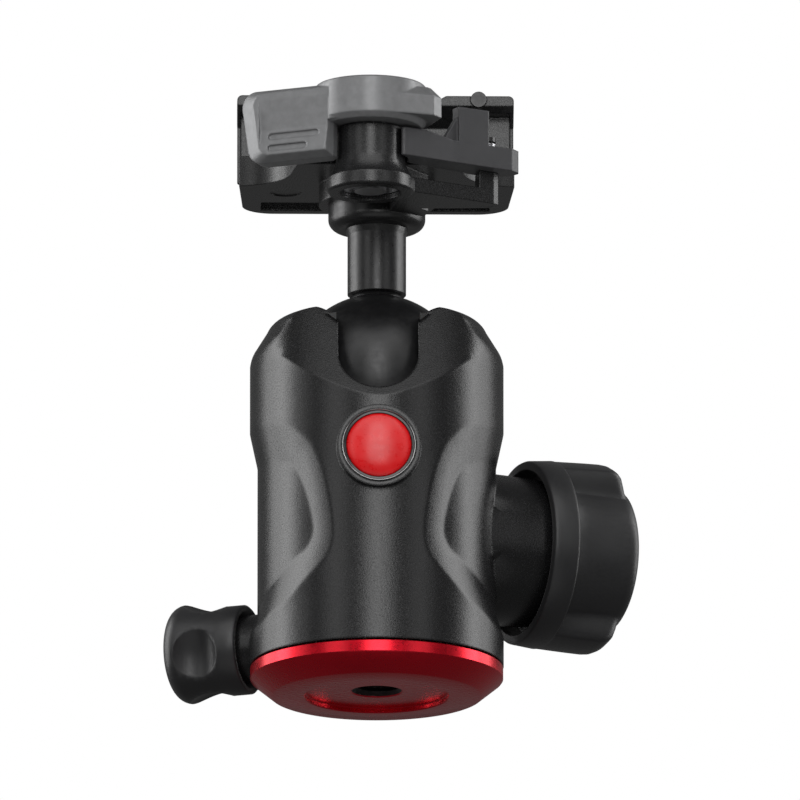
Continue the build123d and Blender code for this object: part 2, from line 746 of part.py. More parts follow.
# Pan lock knob, the small sister of the lock knob.
pan_band_end = pan_knob_start + pan_band_length
with BuildPart() as pan_lock_knob:
    with BuildSketch(side_of(pan_plane, 0)):
        with BuildLine():
            Polyline(
                (0, pan_knob_end - 0.5),
                (0, pan_boss_end + 0.6),
                (pan_rim_radius - pan_rim_wall, pan_boss_end + 0.6),
                (pan_rim_radius - pan_rim_wall, pan_knob_start),
                (pan_rim_radius - 0.3, pan_knob_start),
                (pan_rim_radius, pan_knob_start + 0.3),
                (pan_rim_radius, pan_band_end),
                (pan_lobe_radius, pan_knob_end - 3.2),
            )
            ThreePointArc(
                (pan_lobe_radius, pan_knob_end - 3.2),
                (pan_lobe_radius - 0.8, pan_knob_end - 0.9),
                (pan_lobe_radius - 2.8, pan_knob_end),
            )
            Polyline(
                (pan_lobe_radius - 2.8, pan_knob_end),
                (pan_cap_radius + 0.5, pan_knob_end - 0.3),
                (0, pan_knob_end - 0.5),
            )
        make_face()
    revolve(axis=Axis(pan_plane.origin, pan_out))
    for lobe in range(lobe_count):
        scallop_side = side_of(pan_plane, lobe * 360 / lobe_count)
        with BuildSketch(scallop_side):
            with BuildLine():
                floor_line = Spline(
                    (pan_rim_radius - 0.2, pan_band_end + 0.1),
                    (pan_waist_radius, pan_band_end + 3.2),
                    (pan_waist_radius + 0.7, pan_band_end + 6.2),
                    (pan_lobe_radius + 0.4, pan_knob_end - 2.2),
                )
                Polyline(
                    floor_line @ 1,
                    (pan_waist_radius + pan_scallop_radius, pan_knob_end - 2.2),
                    (pan_waist_radius + pan_scallop_radius, pan_band_end + 0.1),
                    floor_line @ 0,
                )
            make_face()
        scallop_origin = pan_plane.origin + scallop_side.x_dir * (pan_waist_radius + pan_scallop_radius)
        revolve(axis=Axis(scallop_origin, pan_out), mode=Mode.SUBTRACT)
    with BuildSketch(pan_plane.offset(pan_knob_start)):
        Circle(pan_screw_radius + slip)
    extrude(amount=pan_knob_length, mode=Mode.SUBTRACT)
    with BuildSketch(pan_plane.offset(pan_head_start)):
        RegularPolygon(radius=pan_hex_radius + slip, side_count=6)
    extrude(amount=pan_knob_length, mode=Mode.SUBTRACT)
    with BuildSketch(pan_plane.offset(pan_knob_end)):
        Circle(pan_cap_radius)
    extrude(amount=-cap_thickness - pan_cap_sink, mode=Mode.SUBTRACT)
pan_lock_knob.part.label = "pan_lock_knob"
export_step(pan_lock_knob.part, "parts/pan_lock_knob.step")

with BuildPart() as pan_knob_cap:
    with BuildSketch(pan_plane.offset(pan_knob_end - pan_cap_sink - cap_thickness + slip)):
        Circle(pan_cap_radius - slip)
    extrude(amount=cap_thickness)
    chamfer(pan_knob_cap.faces().sort_by(Axis(pan_plane.origin, pan_out))[-1].edges(), length=0.25)
pan_knob_cap.part.label = "pan_knob_cap"
export_step(pan_knob_cap.part, "parts/pan_knob_cap.step")

# ---------------------------------------------------------------- ball, stem, sleeve, collar
with BuildPart() as ball:
    with Locations((0, 0, ball_z)):
        Sphere(ball_radius)
ball.part.label = "ball"
export_step(ball.part, "parts/ball.step")

# Stem: a flared neck on the ball, then the shaft inside the sleeve, bored for the receiver bolt.
bolt_radius = 2.9
bolt_end = 84.0
stem_top = floor_bottom + 1.6
neck_z = ball_z + ball_radius
with BuildPart() as ball_stem:
    with BuildSketch(Plane.XZ):
        with BuildLine():
            Polyline(
                (0, ball_z + ball_radius - 1.4),
                (neck_foot_radius, ball_z + ball_radius - 1.4),
                (neck_radius, neck_z + 0.2),
                (neck_radius, sleeve_bottom - running_fit),
                (stem_shaft_radius, sleeve_bottom - running_fit),
                (stem_shaft_radius, stem_top),
                (bolt_radius + slip, stem_top),
                (bolt_radius + slip, bolt_end - play),
                (0, bolt_end - play),
                close=True,
            )
        make_face()
    revolve(axis=Axis.Z)
    with Locations((0, 0, ball_z)):
        Sphere(ball_radius + running_fit, mode=Mode.SUBTRACT)
ball_stem.part.label = "ball_stem"
export_step(ball_stem.part, "parts/ball_stem.step")

with BuildPart() as stem_sleeve:
    with BuildSketch(Plane.XZ):
        with BuildLine():
            Polyline(
                (stem_shaft_radius + running_fit, sleeve_bottom),
                (sleeve_radius - 0.1, sleeve_bottom),
                (sleeve_radius, sleeve_bottom + 0.1),
                (sleeve_radius, collar_bottom - 1.2),
                (sleeve_radius + 0.4, collar_bottom - slip),
                (stem_shaft_radius + running_fit, collar_bottom - slip),
                close=True,
            )
        make_face()
    revolve(axis=Axis.Z)
stem_sleeve.part.label = "stem_sleeve"
export_step(stem_sleeve.part, "parts/stem_sleeve.step")

with BuildPart() as stem_collar:
    with BuildSketch(Plane.XZ):
        with BuildLine():
            Polyline(
                (collar_radius - 2.0, collar_bottom),
                (stem_shaft_radius + running_fit, collar_bottom),
                (stem_shaft_radius + running_fit, collar_top),
                (collar_radius, collar_top),
                (collar_radius, collar_bottom + 2.0),
            )
            ThreePointArc(
                (collar_radius, collar_bottom + 2.0),
                (collar_radius - 0.6, collar_bottom + 0.6),
                (collar_radius - 2.0, collar_bottom),
            )
        make_face()
    revolve(axis=Axis.Z)
stem_collar.part.label = "stem_collar"
export_step(stem_collar.part, "parts/stem_collar.step")

# ---------------------------------------------------------------- receiver
# Jaw: an undercut wall with hollow ends that hooks over the plate's rear edge.
with BuildPart() as jaw_wall:
    with BuildSketch(Plane.YZ):
        with BuildLine():
            Polyline(
                (jaw_lip_y, jaw_top),
                (jaw_lip_y, jaw_top - jaw_lip_height),
                (jaw_root_y, jaw_top - jaw_undercut_height),
                (jaw_root_y, floor_top - 1.0),
                (receiver_back, floor_top - 1.0),
                (receiver_back, jaw_top - 2.0),
                (receiver_back - 1.6, jaw_top),
                close=True,
            )
        make_face()
    extrude(amount=jaw_half_width, both=True)
    # the ends are rounded at the top and the middle of the top edge is lower
    with BuildSketch(Plane.XZ.offset(-receiver_back - 1)):
        with BuildLine():
            jaw_front_view = FilletPolyline(
                (jaw_half_width, floor_top - 2.0),
                (jaw_half_width, jaw_top),
                (jaw_dip_half_width + 1.0, jaw_top),
                (jaw_dip_half_width, jaw_top - jaw_dip),
                (-jaw_dip_half_width, jaw_top - jaw_dip),
                (-jaw_dip_half_width - 1.0, jaw_top),
                (-jaw_half_width, jaw_top),
                (-jaw_half_width, floor_top - 2.0),
                radius=1.0,
            )
            Line(jaw_front_view @ 1, jaw_front_view @ 0)
        make_face()
    extrude(amount=receiver_back, mode=Mode.INTERSECT)
    with BuildSketch(Plane.XY.offset(floor_top - 2.0)):
        with BuildLine():
            jaw_plan = FilletPolyline(
                (jaw_half_width, jaw_lip_y - 1.0),
                (jaw_half_width, jaw_root_y),
                (receiver_half_width - receiver_side_taper, receiver_back),
                (-receiver_half_width + receiver_side_taper, receiver_back),
                (-jaw_half_width, jaw_root_y),
                (-jaw_half_width, jaw_lip_y - 1.0),
                radius=jaw_corner_radius,
            )
            Line(jaw_plan @ 1, jaw_plan @ 0)
        make_face()
    extrude(amount=jaw_height + 4, mode=Mode.INTERSECT)
    with BuildSketch(Plane.XZ.offset(-jaw_lip_y + 1)):
        with Locations((jaw_pocket_x, floor_top + jaw_pocket_height / 2), (-jaw_pocket_x, floor_top + jaw_pocket_height / 2)):
            Rectangle(2 * (jaw_half_width - jaw_cheek - jaw_pocket_x), jaw_pocket_height)
    extrude(amount=-(receiver_back - jaw_rear_wall - jaw_lip_y + 1), mode=Mode.SUBTRACT)

bolt_head_radius = 4.8
bolt_head_height = 2.6
lever_axis = Axis((lever_x, lever_y, 0), (0, 0, 1))
with BuildPart() as receiver:
    # floor: tapered rounded rear corners, front corners scooped for the handle and the catch
    with BuildSketch(Plane.XY.offset(floor_bottom)):
        with BuildLine():
            rear = FilletPolyline(
                (receiver_half_width, scoop_side_y),
                (receiver_half_width - receiver_side_taper, receiver_back),
                (-receiver_half_width + receiver_side_taper, receiver_back),
                (-receiver_half_width, scoop_side_y),
                radius=rear_corner_radius,
            )
            left_scoop = ThreePointArc(rear @ 1, (-scoop_middle_x, scoop_middle_y), (-scoop_end_x, scoop_end_y))
            front = Polyline(
                left_scoop @ 1,
                (-scoop_end_x + 1.0, -receiver_front),
                (scoop_end_x - 5.2, -receiver_front),
                (scoop_end_x - 0.6, scoop_end_y - 2.8),
                (scoop_end_x, scoop_end_y),
            )
            ThreePointArc(front @ 1, (scoop_middle_x, scoop_middle_y), rear @ 0)
        make_face()
    extrude(amount=floor_top - floor_bottom)
    add(jaw_wall.part)
    # pad over the collar, rib forward to the lever boss, and the boss itself
    with BuildSketch(Plane.XY.offset(collar_top + slip)):
        Circle(hub_pad_radius)
        with BuildLine():
            Polyline(
                (lever_x - lever_boss_radius + 0.5, lever_y + 2.0),
                (lever_x + lever_boss_radius - 1.5, lever_y + 3.5),
                (9.0, -5.0),
                (-9.0, -5.0),
                close=True,
            )
        make_face()
    extrude(amount=floor_bottom + 1 - collar_top)
    with BuildSketch(Plane(origin=(lever_x, lever_y, 0), x_dir=(1, 0, 0), z_dir=(0, -1, 0))):
        with BuildLine():
            Polyline(
                (0, lever_boss_bottom),
                (boss_flange_radius - 0.4, lever_boss_bottom),
                (boss_flange_radius, lever_boss_bottom + 0.4),
                (boss_flange_radius, boss_flange_top),
            )
            ThreePointArc(
                (boss_flange_radius, boss_flange_top),
                (lever_boss_radius + 0.5, boss_flange_top + boss_blend_height * 0.45),
                (lever_boss_radius, boss_flange_top + boss_blend_height),
            )
            Polyline(
                (lever_boss_radius, boss_flange_top + boss_blend_height),
                (lever_boss_radius, lever_boss_top),
                (0, lever_boss_top),
                (0, lever_boss_bottom),
            )
        make_face()
    revolve(axis=lever_axis)
    # right wing: a low plate with an end post under the catch
    with BuildSketch(Plane.XY.offset(wing_bottom)):
        with BuildLine():
            Polyline(
                (lever_x + 3.0, lever_y - 3.3),
                (wing_end_x - 0.85, wing_front_y),
                (wing_end_x, wing_front_y + 0.9),
                (wing_end_x, wing_back_y),
                (8.0, -11.0),
                (4.0, -18.0),
                close=True,
            )
        make_face()
    extrude(amount=wing_thickness)
    with BuildSketch(Plane.XY.offset(wing_bottom)):
        with BuildLine():
            Polyline(
                (wing_end_x - 3.6, wing_front_y - 1.66),
                (wing_end_x - 0.85, wing_front_y),
                (wing_end_x, wing_front_y + 0.9),
                (wing_end_x, wing_back_y),
                (wing_end_x - 4.3, wing_back_y),
                close=True,
            )
        make_face()
    extrude(amount=wing_top - wing_bottom)
    with BuildSketch(Plane.XY.offset(wing_bottom)):
        with BuildLine():
            Polyline((4.0, -18.0), (8.0, -11.0), (9.6, -9.0), (9.0, -5.0), (2.0, -8.0), close=True)
        make_face()
    extrude(amount=floor_bottom + 1 - wing_bottom)
    with BuildSketch(Plane.XY.offset(lever_boss_bottom)):
        Circle(collar_radius + play)
    extrude(amount=collar_top + slip - lever_boss_bottom, mode=Mode.SUBTRACT)
    # slot under the jaw, seat ring for the lever hub, boss recess, bores and pin grooves
    with BuildSketch(Plane.XY.offset(floor_bottom)):
        with Locations((0, (slot_front + slot_back) / 2)):
            Rectangle(2 * slot_half_width, slot_back - slot_front)
    extrude(amount=floor_top - floor_bottom + 1, mode=Mode.SUBTRACT)
    with BuildSketch(Plane.XY.offset(floor_bottom)):
        with Locations((ejector_x, ejector_y), (-ejector_x, ejector_y)):
            Circle(3.0)
    extrude(amount=0.2, mode=Mode.SUBTRACT)
    with BuildSketch(Plane.XY.offset(lever_boss_top)):
        with Locations((lever_x, lever_y)):
            Circle(hub_radius + play)
    extrude(amount=floor_top - lever_boss_top + 1, mode=Mode.SUBTRACT)
    with BuildSketch(Plane.XY.offset(lever_boss_bottom)):
        with Locations((lever_x, lever_y)):
            Circle(boss_recess_radius)
    extrude(amount=boss_recess_top - lever_boss_bottom, mode=Mode.SUBTRACT)
    with BuildSketch(Plane.XY.offset(lever_boss_bottom)):
        with Locations((lever_x, lever_y)):
            Circle(lever_pin_radius + running_fit)
    extrude(amount=lever_boss_top - lever_boss_bottom + 1, mode=Mode.SUBTRACT)
    with BuildSketch(Plane.XY.offset(collar_top)):
        Circle(stem_shaft_radius + running_fit)
    extrude(amount=stem_top + running_fit - collar_top, mode=Mode.SUBTRACT)
    with BuildSketch(Plane.XY.offset(stem_top)):
        Circle(bolt_radius + slip)
    extrude(amount=floor_top - stem_top + 1, mode=Mode.SUBTRACT)
    with BuildSketch(Plane.XY.offset(floor_top - bolt_head_height - 0.4)):
        Circle(bolt_head_radius + slip)
    extrude(amount=bolt_head_height + 2, mode=Mode.SUBTRACT)
    with BuildSketch(Plane.XY.offset(wing_bottom)):
        with Locations((catch_x, catch_y)):
            Circle(catch_pin_radius + slip)
    extrude(amount=wing_top - wing_bottom + 1, mode=Mode.SUBTRACT)
    with BuildSketch(Plane.XZ.offset(-jaw_lip_y + 1)):
        with Locations((jaw_pin_x, jaw_pin_z), (-jaw_pin_x, jaw_pin_z)):
            Circle(jaw_pin_radius + slip)
    extrude(amount=-6.0, mode=Mode.SUBTRACT)
    with BuildSketch(Plane.XY.offset(floor_bottom)):
        with Locations((trigger_x, trigger_y)):
            Circle(trigger_radius + running_fit)
    extrude(amount=floor_top - floor_bottom + 1, mode=Mode.SUBTRACT)
    with BuildSketch(Plane.XY.offset(collar_top)):
        with Locations((trigger_x, trigger_y)):
            Circle(trigger_radius + 1.0)
    extrude(amount=floor_top - 2.2 - collar_top, mode=Mode.SUBTRACT)
receiver.part.label = "receiver"
export_step(receiver.part, "parts/receiver.step")

with BuildPart() as jaw_pins:
    with BuildSketch(Plane.XZ.offset(-jaw_lip_y + 0.4)):
        with Locations((jaw_pin_x, jaw_pin_z), (-jaw_pin_x, jaw_pin_z)):
            Circle(jaw_pin_radius)
    extrude(amount=-5.2)
jaw_pins.part.label = "jaw_pins"
export_step(jaw_pins.part, "parts/jaw_pins.step")

with BuildPart() as receiver_bolt:
    with BuildSketch(Plane.XY.offset(bolt_end)):
        Circle(bolt_radius)
    extrude(amount=floor_top - bolt_end - 1)
    with BuildSketch(Plane.XY.offset(floor_top - bolt_head_height - 0.4 + slip)):
        Circle(bolt_head_radius)
    extrude(amount=bolt_head_height)
    with BuildSketch(Plane.XY.offset(floor_top - 0.4)):
        RegularPolygon(radius=2.9, side_count=6)
    extrude(amount=-1.8, mode=Mode.SUBTRACT)
receiver_bolt.part.label = "receiver_bolt"
export_step(receiver_bolt.part, "parts/receiver_bolt.step")

# ---------------------------------------------------------------- lever and its pivot
clip_groove_z = lever_boss_bottom + 1.0
pivot_clip_thickness = 0.8
lever_pin_top = hub_top - 2.2
with BuildPart() as lever_pivot:
    with BuildSketch(Plane.XY.offset(lever_boss_bottom + 0.3)):
        with Locations((lever_x, lever_y)):
            Circle(lever_pin_radius)
    extrude(amount=lever_pin_top - lever_boss_bottom - 0.3)
    with BuildSketch(Plane.XY.offset(clip_groove_z)):
        with Locations((lever_x, lever_y)):
            Circle(lever_pin_radius + 1)
            Circle(lever_pin_radius - 0.6, mode=Mode.SUBTRACT)
    extrude(amount=pivot_clip_thickness + 2 * slip, mode=Mode.SUBTRACT)
lever_pivot.part.label = "lever_pivot"
export_step(lever_pivot.part, "parts/lever_pivot.step")

with BuildPart() as pivot_clip:
    with BuildSketch(Plane.XY.offset(clip_groove_z + slip)):
        with Locations((lever_x, lever_y)):
            Circle(boss_recess_radius - play)
            Circle(lever_pin_radius - 0.6 + slip, mode=Mode.SUBTRACT)
        with Locations((lever_x, lever_y - 4.0)):
            Rectangle(3.6, 6.0, mode=Mode.SUBTRACT)
    extrude(amount=pivot_clip_thickness)
pivot_clip.part.label = "pivot_clip"
export_step(pivot_clip.part, "parts/pivot_clip.step")

# Torsion spring round the pivot, shut inside the boss.
spring_turns = 4
spring_wire = 0.9
spring_coil_radius = boss_recess_radius - play - spring_wire / 2
spring_start = clip_groove_z + pivot_clip_thickness + 3 * slip + spring_wire / 2
with BuildPart() as lever_spring:
    for turn in range(spring_turns):
        ring_plane = Plane(origin=(lever_x, lever_y, spring_start + turn * (spring_wire - slip)), z_dir=(0, 0, 1))
        with Locations(ring_plane):
            Torus(spring_coil_radius, spring_wire / 2)
lever_spring.part.label = "lever_spring"
export_step(lever_spring.part, "parts/lever_spring.step")

# Nose of the lever: a short block flush with the hub's front, its top edges bevelled.
nose_plane = Plane(
    origin=(lever_x, lever_y, nose_bottom), x_dir=(cos(radians(nose_angle)), sin(radians(nose_angle)), 0), z_dir=(0, 0, 1)
)
with BuildPart() as lever_nose:
    with BuildSketch(nose_plane) as nose_outline:
        with BuildLine():
            Polyline(
                (0, -hub_radius + 0.1),
                (nose_length - 2.1, -hub_radius + 0.1),
                (nose_length, -hub_radius + 1.7),
                (nose_length, 0),
                (nose_length - 2.0, nose_back),
                (lever_pin_radius + 1.2, nose_back),
                (lever_pin_radius + 1.2, -lever_pin_radius - 1.2),
                (0, -lever_pin_radius - 1.2),
                close=True,
            )
        make_face()
    extrude(amount=nose_top - nose_bottom - nose_bevel)
    extrude(nose_outline.sketch.moved(Location((0, 0, nose_top - nose_bottom - nose_bevel))), amount=nose_bevel, taper=42)

# Lever: domed hub, tall thumb tab to the left with a dished front, short nose to the right.
handle_out = Vector(cos(radians(handle_angle)), sin(radians(handle_angle)), 0)
handle_back = handle_out.cross(Vector(0, 0, 1))
handle_plane = Plane(
    origin=Vector(lever_x, lever_y, 0) - handle_back * handle_front, x_dir=handle_out, z_dir=handle_back
)
dish_plane = Plane(
    origin=Vector(lever_x, lever_y, 0) - handle_back * handle_front + handle_out * dish_start,
    x_dir=handle_back * -1,
    z_dir=handle_out,
)
crown_sphere = ((hub_radius - 0.3) ** 2 + hub_crown**2) / (2 * hub_crown)
with BuildPart() as lever:
    with BuildSketch(Plane(origin=(lever_x, lever_y, 0), x_dir=(1, 0, 0), z_dir=(0, -1, 0))):
        with BuildLine():
            Polyline(
                (0, hub_top),
                (0, lever_pin_top + play),
                (lever_pin_radius + running_fit, lever_pin_top + play),
                (lever_pin_radius + running_fit, hub_bottom),
                (hub_radius - 1.0, hub_bottom),
                (hub_radius, hub_bottom + 1.0),
                (hub_radius, hub_top - hub_crown - 0.3),
                (hub_radius - 0.3, hub_top - hub_crown),
            )
            ThreePointArc(
                (hub_radius - 0.3, hub_top - hub_crown),
                (hub_radius / 2, hub_top - crown_sphere + sqrt(crown_sphere**2 - (hub_radius / 2) ** 2)),
                (0, hub_top),
            )
        make_face()
    revolve(axis=lever_axis)
    with BuildSketch(handle_plane.offset(handle_bevel)):
        with BuildLine():
            outer_tab = FilletPolyline(
                (2.0, handle_top), (handle_length, handle_top), (handle_length - 2.0, handle_bottom), (handle_start, handle_bottom),
                radius=handle_corner_radius,
            )
            Polyline(
                (handle_start, handle_bottom), (handle_start, hub_bottom + play), (2.0, hub_bottom + play), (2.0, handle_top)
            )
        make_face()
    extrude(amount=handle_thickness - handle_bevel)
    with BuildSketch(handle_plane.offset(handle_bevel)):
        with BuildLine():
            FilletPolyline(
                (2.0, handle_top), (handle_length, handle_top), (handle_length - 2.0, handle_bottom), (handle_start, handle_bottom),
                radius=handle_corner_radius,
            )
            Polyline(
                (handle_start, handle_bottom), (handle_start, hub_bottom + play), (2.0, hub_bottom + play), (2.0, handle_top)
            )
        make_face()
    with BuildSketch(handle_plane):
        with BuildLine():
            FilletPolyline(
                (2.0, handle_top - 1.0),
                (handle_length - 3.3, handle_top - 1.0),
                (handle_length - 5.0, handle_bottom + 1.0),
                (handle_start + 0.8, handle_bottom + 1.0),
                radius=handle_corner_radius - 0.8,
            )
            Polyline(
                (handle_start + 0.8, handle_bottom + 1.0),
                (handle_start + 0.8, hub_bottom + play),
                (2.0, hub_bottom + play),
                (2.0, handle_top - 1.0),
            )
        make_face()
    loft(ruled=True)
    add(lever_nose.part)
    # shallow V dish across the tab's front and two thumb grooves in its lower half
    with BuildSketch(dish_plane):
        with BuildLine():
            Polyline(
                (0.1, handle_bottom + 1.3), (-dish_depth, dish_crease_z), (0.1, handle_top - 1.5), (1.0, dish_crease_z), close=True
            )
        make_face()
    extrude(amount=dish_length, mode=Mode.SUBTRACT)
    with BuildSketch(handle_plane):
        with Locations((groove_end - 5.2, upper_groove_z)):
            SlotOverall(10.4, groove_width)
    extrude(amount=groove_depth + 0.43, mode=Mode.SUBTRACT)
    with BuildSketch(handle_plane):
        with Locations((groove_end - 4.0, lower_groove_z)):
            SlotOverall(8.0, groove_width)
    extrude(amount=groove_depth + 0.13, mode=Mode.SUBTRACT)
    # the tab turns round the boss
    with BuildSketch(Plane.XY.offset(handle_bottom - 1)):
        with Locations((lever_x, lever_y)):
            Circle(lever_boss_radius + 2 * play)
    extrude(amount=hub_bottom - handle_bottom + 1, mode=Mode.SUBTRACT)
lever.part.label = "lever"
export_step(lever.part, "parts/lever.step")

# ---------------------------------------------------------------- safety catch
# A flat arm on a pin in the wing's post: its left end rises beside the boss, its thumb post stands at the front.
catch_bottom = wing_top + slip
catch_top = catch_bottom + catch_thickness
catch_ramp_top = hub_bottom - 2 * play
boss_clearance = lever_boss_radius + 2 * play
with BuildPart() as safety_catch:
    with BuildSketch(Plane.XY.offset(catch_bottom)):
        with BuildLine():
            FilletPolyline(
                (catch_x - 16.4, catch_y - 15.2),
                (catch_x - 6.5, catch_y - 8.9),
                (catch_x + 4.8, catch_y - 2.3),
                (catch_x + 6.2, catch_y),
                (catch_x + 4.2, catch_y + 2.3),
                (catch_x - 1.0, catch_y + 2.1),
                (catch_x - 14.6, catch_y - 8.0),
                (catch_x - 17.6, catch_y - 11.9),
                radius=1.0,
                close=True,
            )
        make_face()
        with Locations((lever_x, lever_y)):
            Circle(boss_clearance, mode=Mode.SUBTRACT)
    extrude(amount=catch_ramp_top - catch_bottom)
    with BuildSketch(Plane.XZ):
        with BuildLine():
            Polyline(
                (catch_x - 11.6, catch_ramp_top),
                (catch_x - 6.5, catch_top),
                (catch_x + 9.0, catch_top),
                (catch_x + 9.0, catch_ramp_top + 1),
                (catch_x - 11.6, catch_ramp_top + 1),
                close=True,
            )
        make_face()
    extrude(amount=40, mode=Mode.SUBTRACT)
    # thumb post flush with the front, and its gusset
    with BuildSketch(Plane.XY.offset(catch_bottom + 1)):
        with BuildLine():
            Polyline(
                (catch_x - 5.4, catch_y - 8.26),
                (catch_x + 0.3, catch_y - 4.93),
                (catch_x - 0.9, catch_y - 2.86),
                (catch_x - 6.6, catch_y - 6.19),
                close=True,
            )
        make_face()
    extrude(amount=catch_post_top - catch_bottom - 1)
    gusset_plane = Plane(origin=(catch_x - 5.4, catch_y - 8.26, 0), x_dir=(0.8635, 0.5044, 0), z_dir=(0.5044, -0.8635, 0))
    with BuildSketch(gusset_plane.offset(-0.6)):
        with BuildLine():
            Polyline((0.5, catch_top - 0.5), (-3.3, catch_top - 0.5), (0.5, catch_post_top - 1.0), close=True)
        make_face()
    extrude(amount=-1.2)
    with BuildSketch(Plane.XY.offset(catch_bottom)):
        with Locations((catch_x, catch_y)):
            Circle(catch_pin_radius + running_fit)
    extrude(amount=catch_thickness, mode=Mode.SUBTRACT)
safety_catch.part.label = "safety_catch"
export_step(safety_catch.part, "parts/safety_catch.step")

catch_spring_wire = 0.5
with BuildPart() as catch_spring:
    for turn in range(3):
        coil_plane = Plane(
            origin=(catch_x, catch_y, catch_top + slip + catch_spring_wire * (0.5 + turn * 0.96)), z_dir=(0, 0, 1)
        )
        with Locations(coil_plane):
            Torus(catch_pin_radius + 0.1 + catch_spring_wire / 2, catch_spring_wire / 2)
catch_spring.part.label = "catch_spring"
export_step(catch_spring.part, "parts/catch_spring.step")

with BuildPart() as catch_pin:
    with BuildSketch(Plane.XY.offset(wing_bottom)):
        with Locations((catch_x, catch_y)):
            Circle(catch_pin_radius)
    extrude(amount=catch_top + 1.7 - wing_bottom)
    with BuildSketch(Plane.XY.offset(catch_top + 1.7)):
        with Locations((catch_x, catch_y)):
            Circle(catch_pin_radius + 0.6)
    extrude(amount=0.8)
catch_pin.part.label = "catch_pin"
export_step(catch_pin.part, "parts/catch_pin.step")

# ---------------------------------------------------------------- trigger
# Pin that the plate pushes down to let the lever snap shut; its spring stands on a pressed plug.
trigger_shelf = floor_top - 2.2
trigger_flange = 0.8
trigger_plug_top = collar_top + 1.6
with BuildPart() as trigger_pin:
    with BuildSketch(Plane.XY.offset(trigger_shelf - slip - trigger_flange)):
        with Locations((trigger_x, trigger_y)):
            Circle(trigger_radius + 0.9)
    extrude(amount=trigger_flange)
    with BuildSketch(Plane.XY.offset(trigger_shelf - slip)):
        with Locations((trigger_x, trigger_y)):
            Circle(trigger_radius)
    extrude(amount=floor_top + trigger_height - trigger_shelf + slip)
    chamfer(trigger_pin.faces().sort_by(Axis.Z)[-1].edges(), length=0.4)
trigger_pin.part.label = "trigger_pin"
export_step(trigger_pin.part, "parts/trigger_pin.step")

trigger_wire = 0.4
spring_height = trigger_shelf - slip - trigger_flange - trigger_plug_top - 2 * slip
coil_count = 5
with BuildPart() as trigger_spring:
    trigger_helix = Helix(
        pitch=(spring_height - trigger_wire) / coil_count,
        height=spring_height - trigger_wire,
        radius=trigger_radius + 0.2,
        center=(trigger_x, trigger_y, trigger_plug_top + slip + trigger_wire / 2),
    )
    with BuildSketch(Plane(origin=trigger_helix @ 0, z_dir=trigger_helix % 0)):
        Circle(trigger_wire / 2)
    sweep(path=trigger_helix)
trigger_spring.part.label = "trigger_spring"
export_step(trigger_spring.part, "parts/trigger_spring.step")

with BuildPart() as trigger_plug:
    with BuildSketch(Plane.XY.offset(collar_top + slip)):
        with Locations((trigger_x, trigger_y)):
            Circle(trigger_radius + 1.0 - slip)
    extrude(amount=trigger_plug_top - collar_top - slip)
trigger_plug.part.label = "trigger_plug"
export_step(trigger_plug.part, "parts/trigger_plug.step")
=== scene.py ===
import math

import bmesh
import bpy
import numpy as np
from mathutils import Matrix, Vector
from mathutils.geometry import delaunay_2d_cdt


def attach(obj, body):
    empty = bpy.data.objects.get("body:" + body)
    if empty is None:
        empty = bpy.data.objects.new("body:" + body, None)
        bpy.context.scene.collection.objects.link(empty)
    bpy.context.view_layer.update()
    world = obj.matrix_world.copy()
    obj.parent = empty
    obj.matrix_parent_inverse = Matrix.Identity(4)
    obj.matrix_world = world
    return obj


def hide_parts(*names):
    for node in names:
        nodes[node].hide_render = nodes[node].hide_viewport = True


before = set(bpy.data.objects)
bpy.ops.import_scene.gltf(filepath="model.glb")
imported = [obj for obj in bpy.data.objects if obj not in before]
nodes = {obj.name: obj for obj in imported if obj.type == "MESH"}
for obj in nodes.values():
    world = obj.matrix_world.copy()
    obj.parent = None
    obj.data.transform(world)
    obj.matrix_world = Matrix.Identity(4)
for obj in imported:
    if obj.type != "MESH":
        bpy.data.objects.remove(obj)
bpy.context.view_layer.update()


# Tripod ball head on a studio table. Shapes are worked out in millimetres and laid down in
# metres, in the CAD frame: origin under the base disc, +Z up, -Y towards the notch, and the
# ball lock knob on the +X side. Materials count in metres.

# Base disc: aluminium turned on a lathe, dyed red and sealed. The foot ring, the cone and the
# rim band are cut in one chucking; the 3/8 inch thread is tapped through the middle and dark.

mm = 0.001
wave_node_rate = 20  # the wave node multiplies its scale by this


def shader_tree(name):
    """An empty node tree with one Principled shader wired to the output."""
    made = bpy.data.materials.new(name)
    made.use_nodes = True
    tree = made.node_tree
    tree.nodes.clear()
    surface = tree.nodes.new("ShaderNodeBsdfPrincipled")
    out = tree.nodes.new("ShaderNodeOutputMaterial")
    tree.links.new(surface.outputs["BSDF"], out.inputs["Surface"])
    return made, tree, surface


def noise_at(tree, scale, detail=2.0, roughness=0.5):
    """Noise over the object's own coordinates; scale counts blobs per metre."""
    place = tree.nodes.new("ShaderNodeTexCoord")
    grain = tree.nodes.new("ShaderNodeTexNoise")
    grain.inputs["Scale"].default_value = scale
    grain.inputs["Detail"].default_value = detail
    grain.inputs["Roughness"].default_value = roughness
    tree.links.new(place.outputs["Object"], grain.inputs["Vector"])
    return grain.outputs["Fac"]


def ramp(tree, value, stops):
    """A value turned into a colour through (position, grey or colour) stops."""
    strip = tree.nodes.new("ShaderNodeValToRGB")
    marks = strip.color_ramp.elements
    while len(marks) < len(stops):
        marks.new(0.5)
    for mark, (where, tone) in zip(marks, stops):
        mark.position = where
        tone = (tone,) * 3 if isinstance(tone, (int, float)) else tone
        mark.color = (*tone, 1)
    tree.links.new(value, strip.inputs["Fac"])
    return strip.outputs["Color"]


def mottle(tree, surface, socket, scale, detail, low, high, marks=(0.3, 0.7)):
    """A socket that wanders between two greys or two colours, as noise of that scale does."""
    shades = ramp(tree, noise_at(tree, scale, detail), list(zip(marks, (low, high))))
    tree.links.new(shades, surface.inputs[socket])


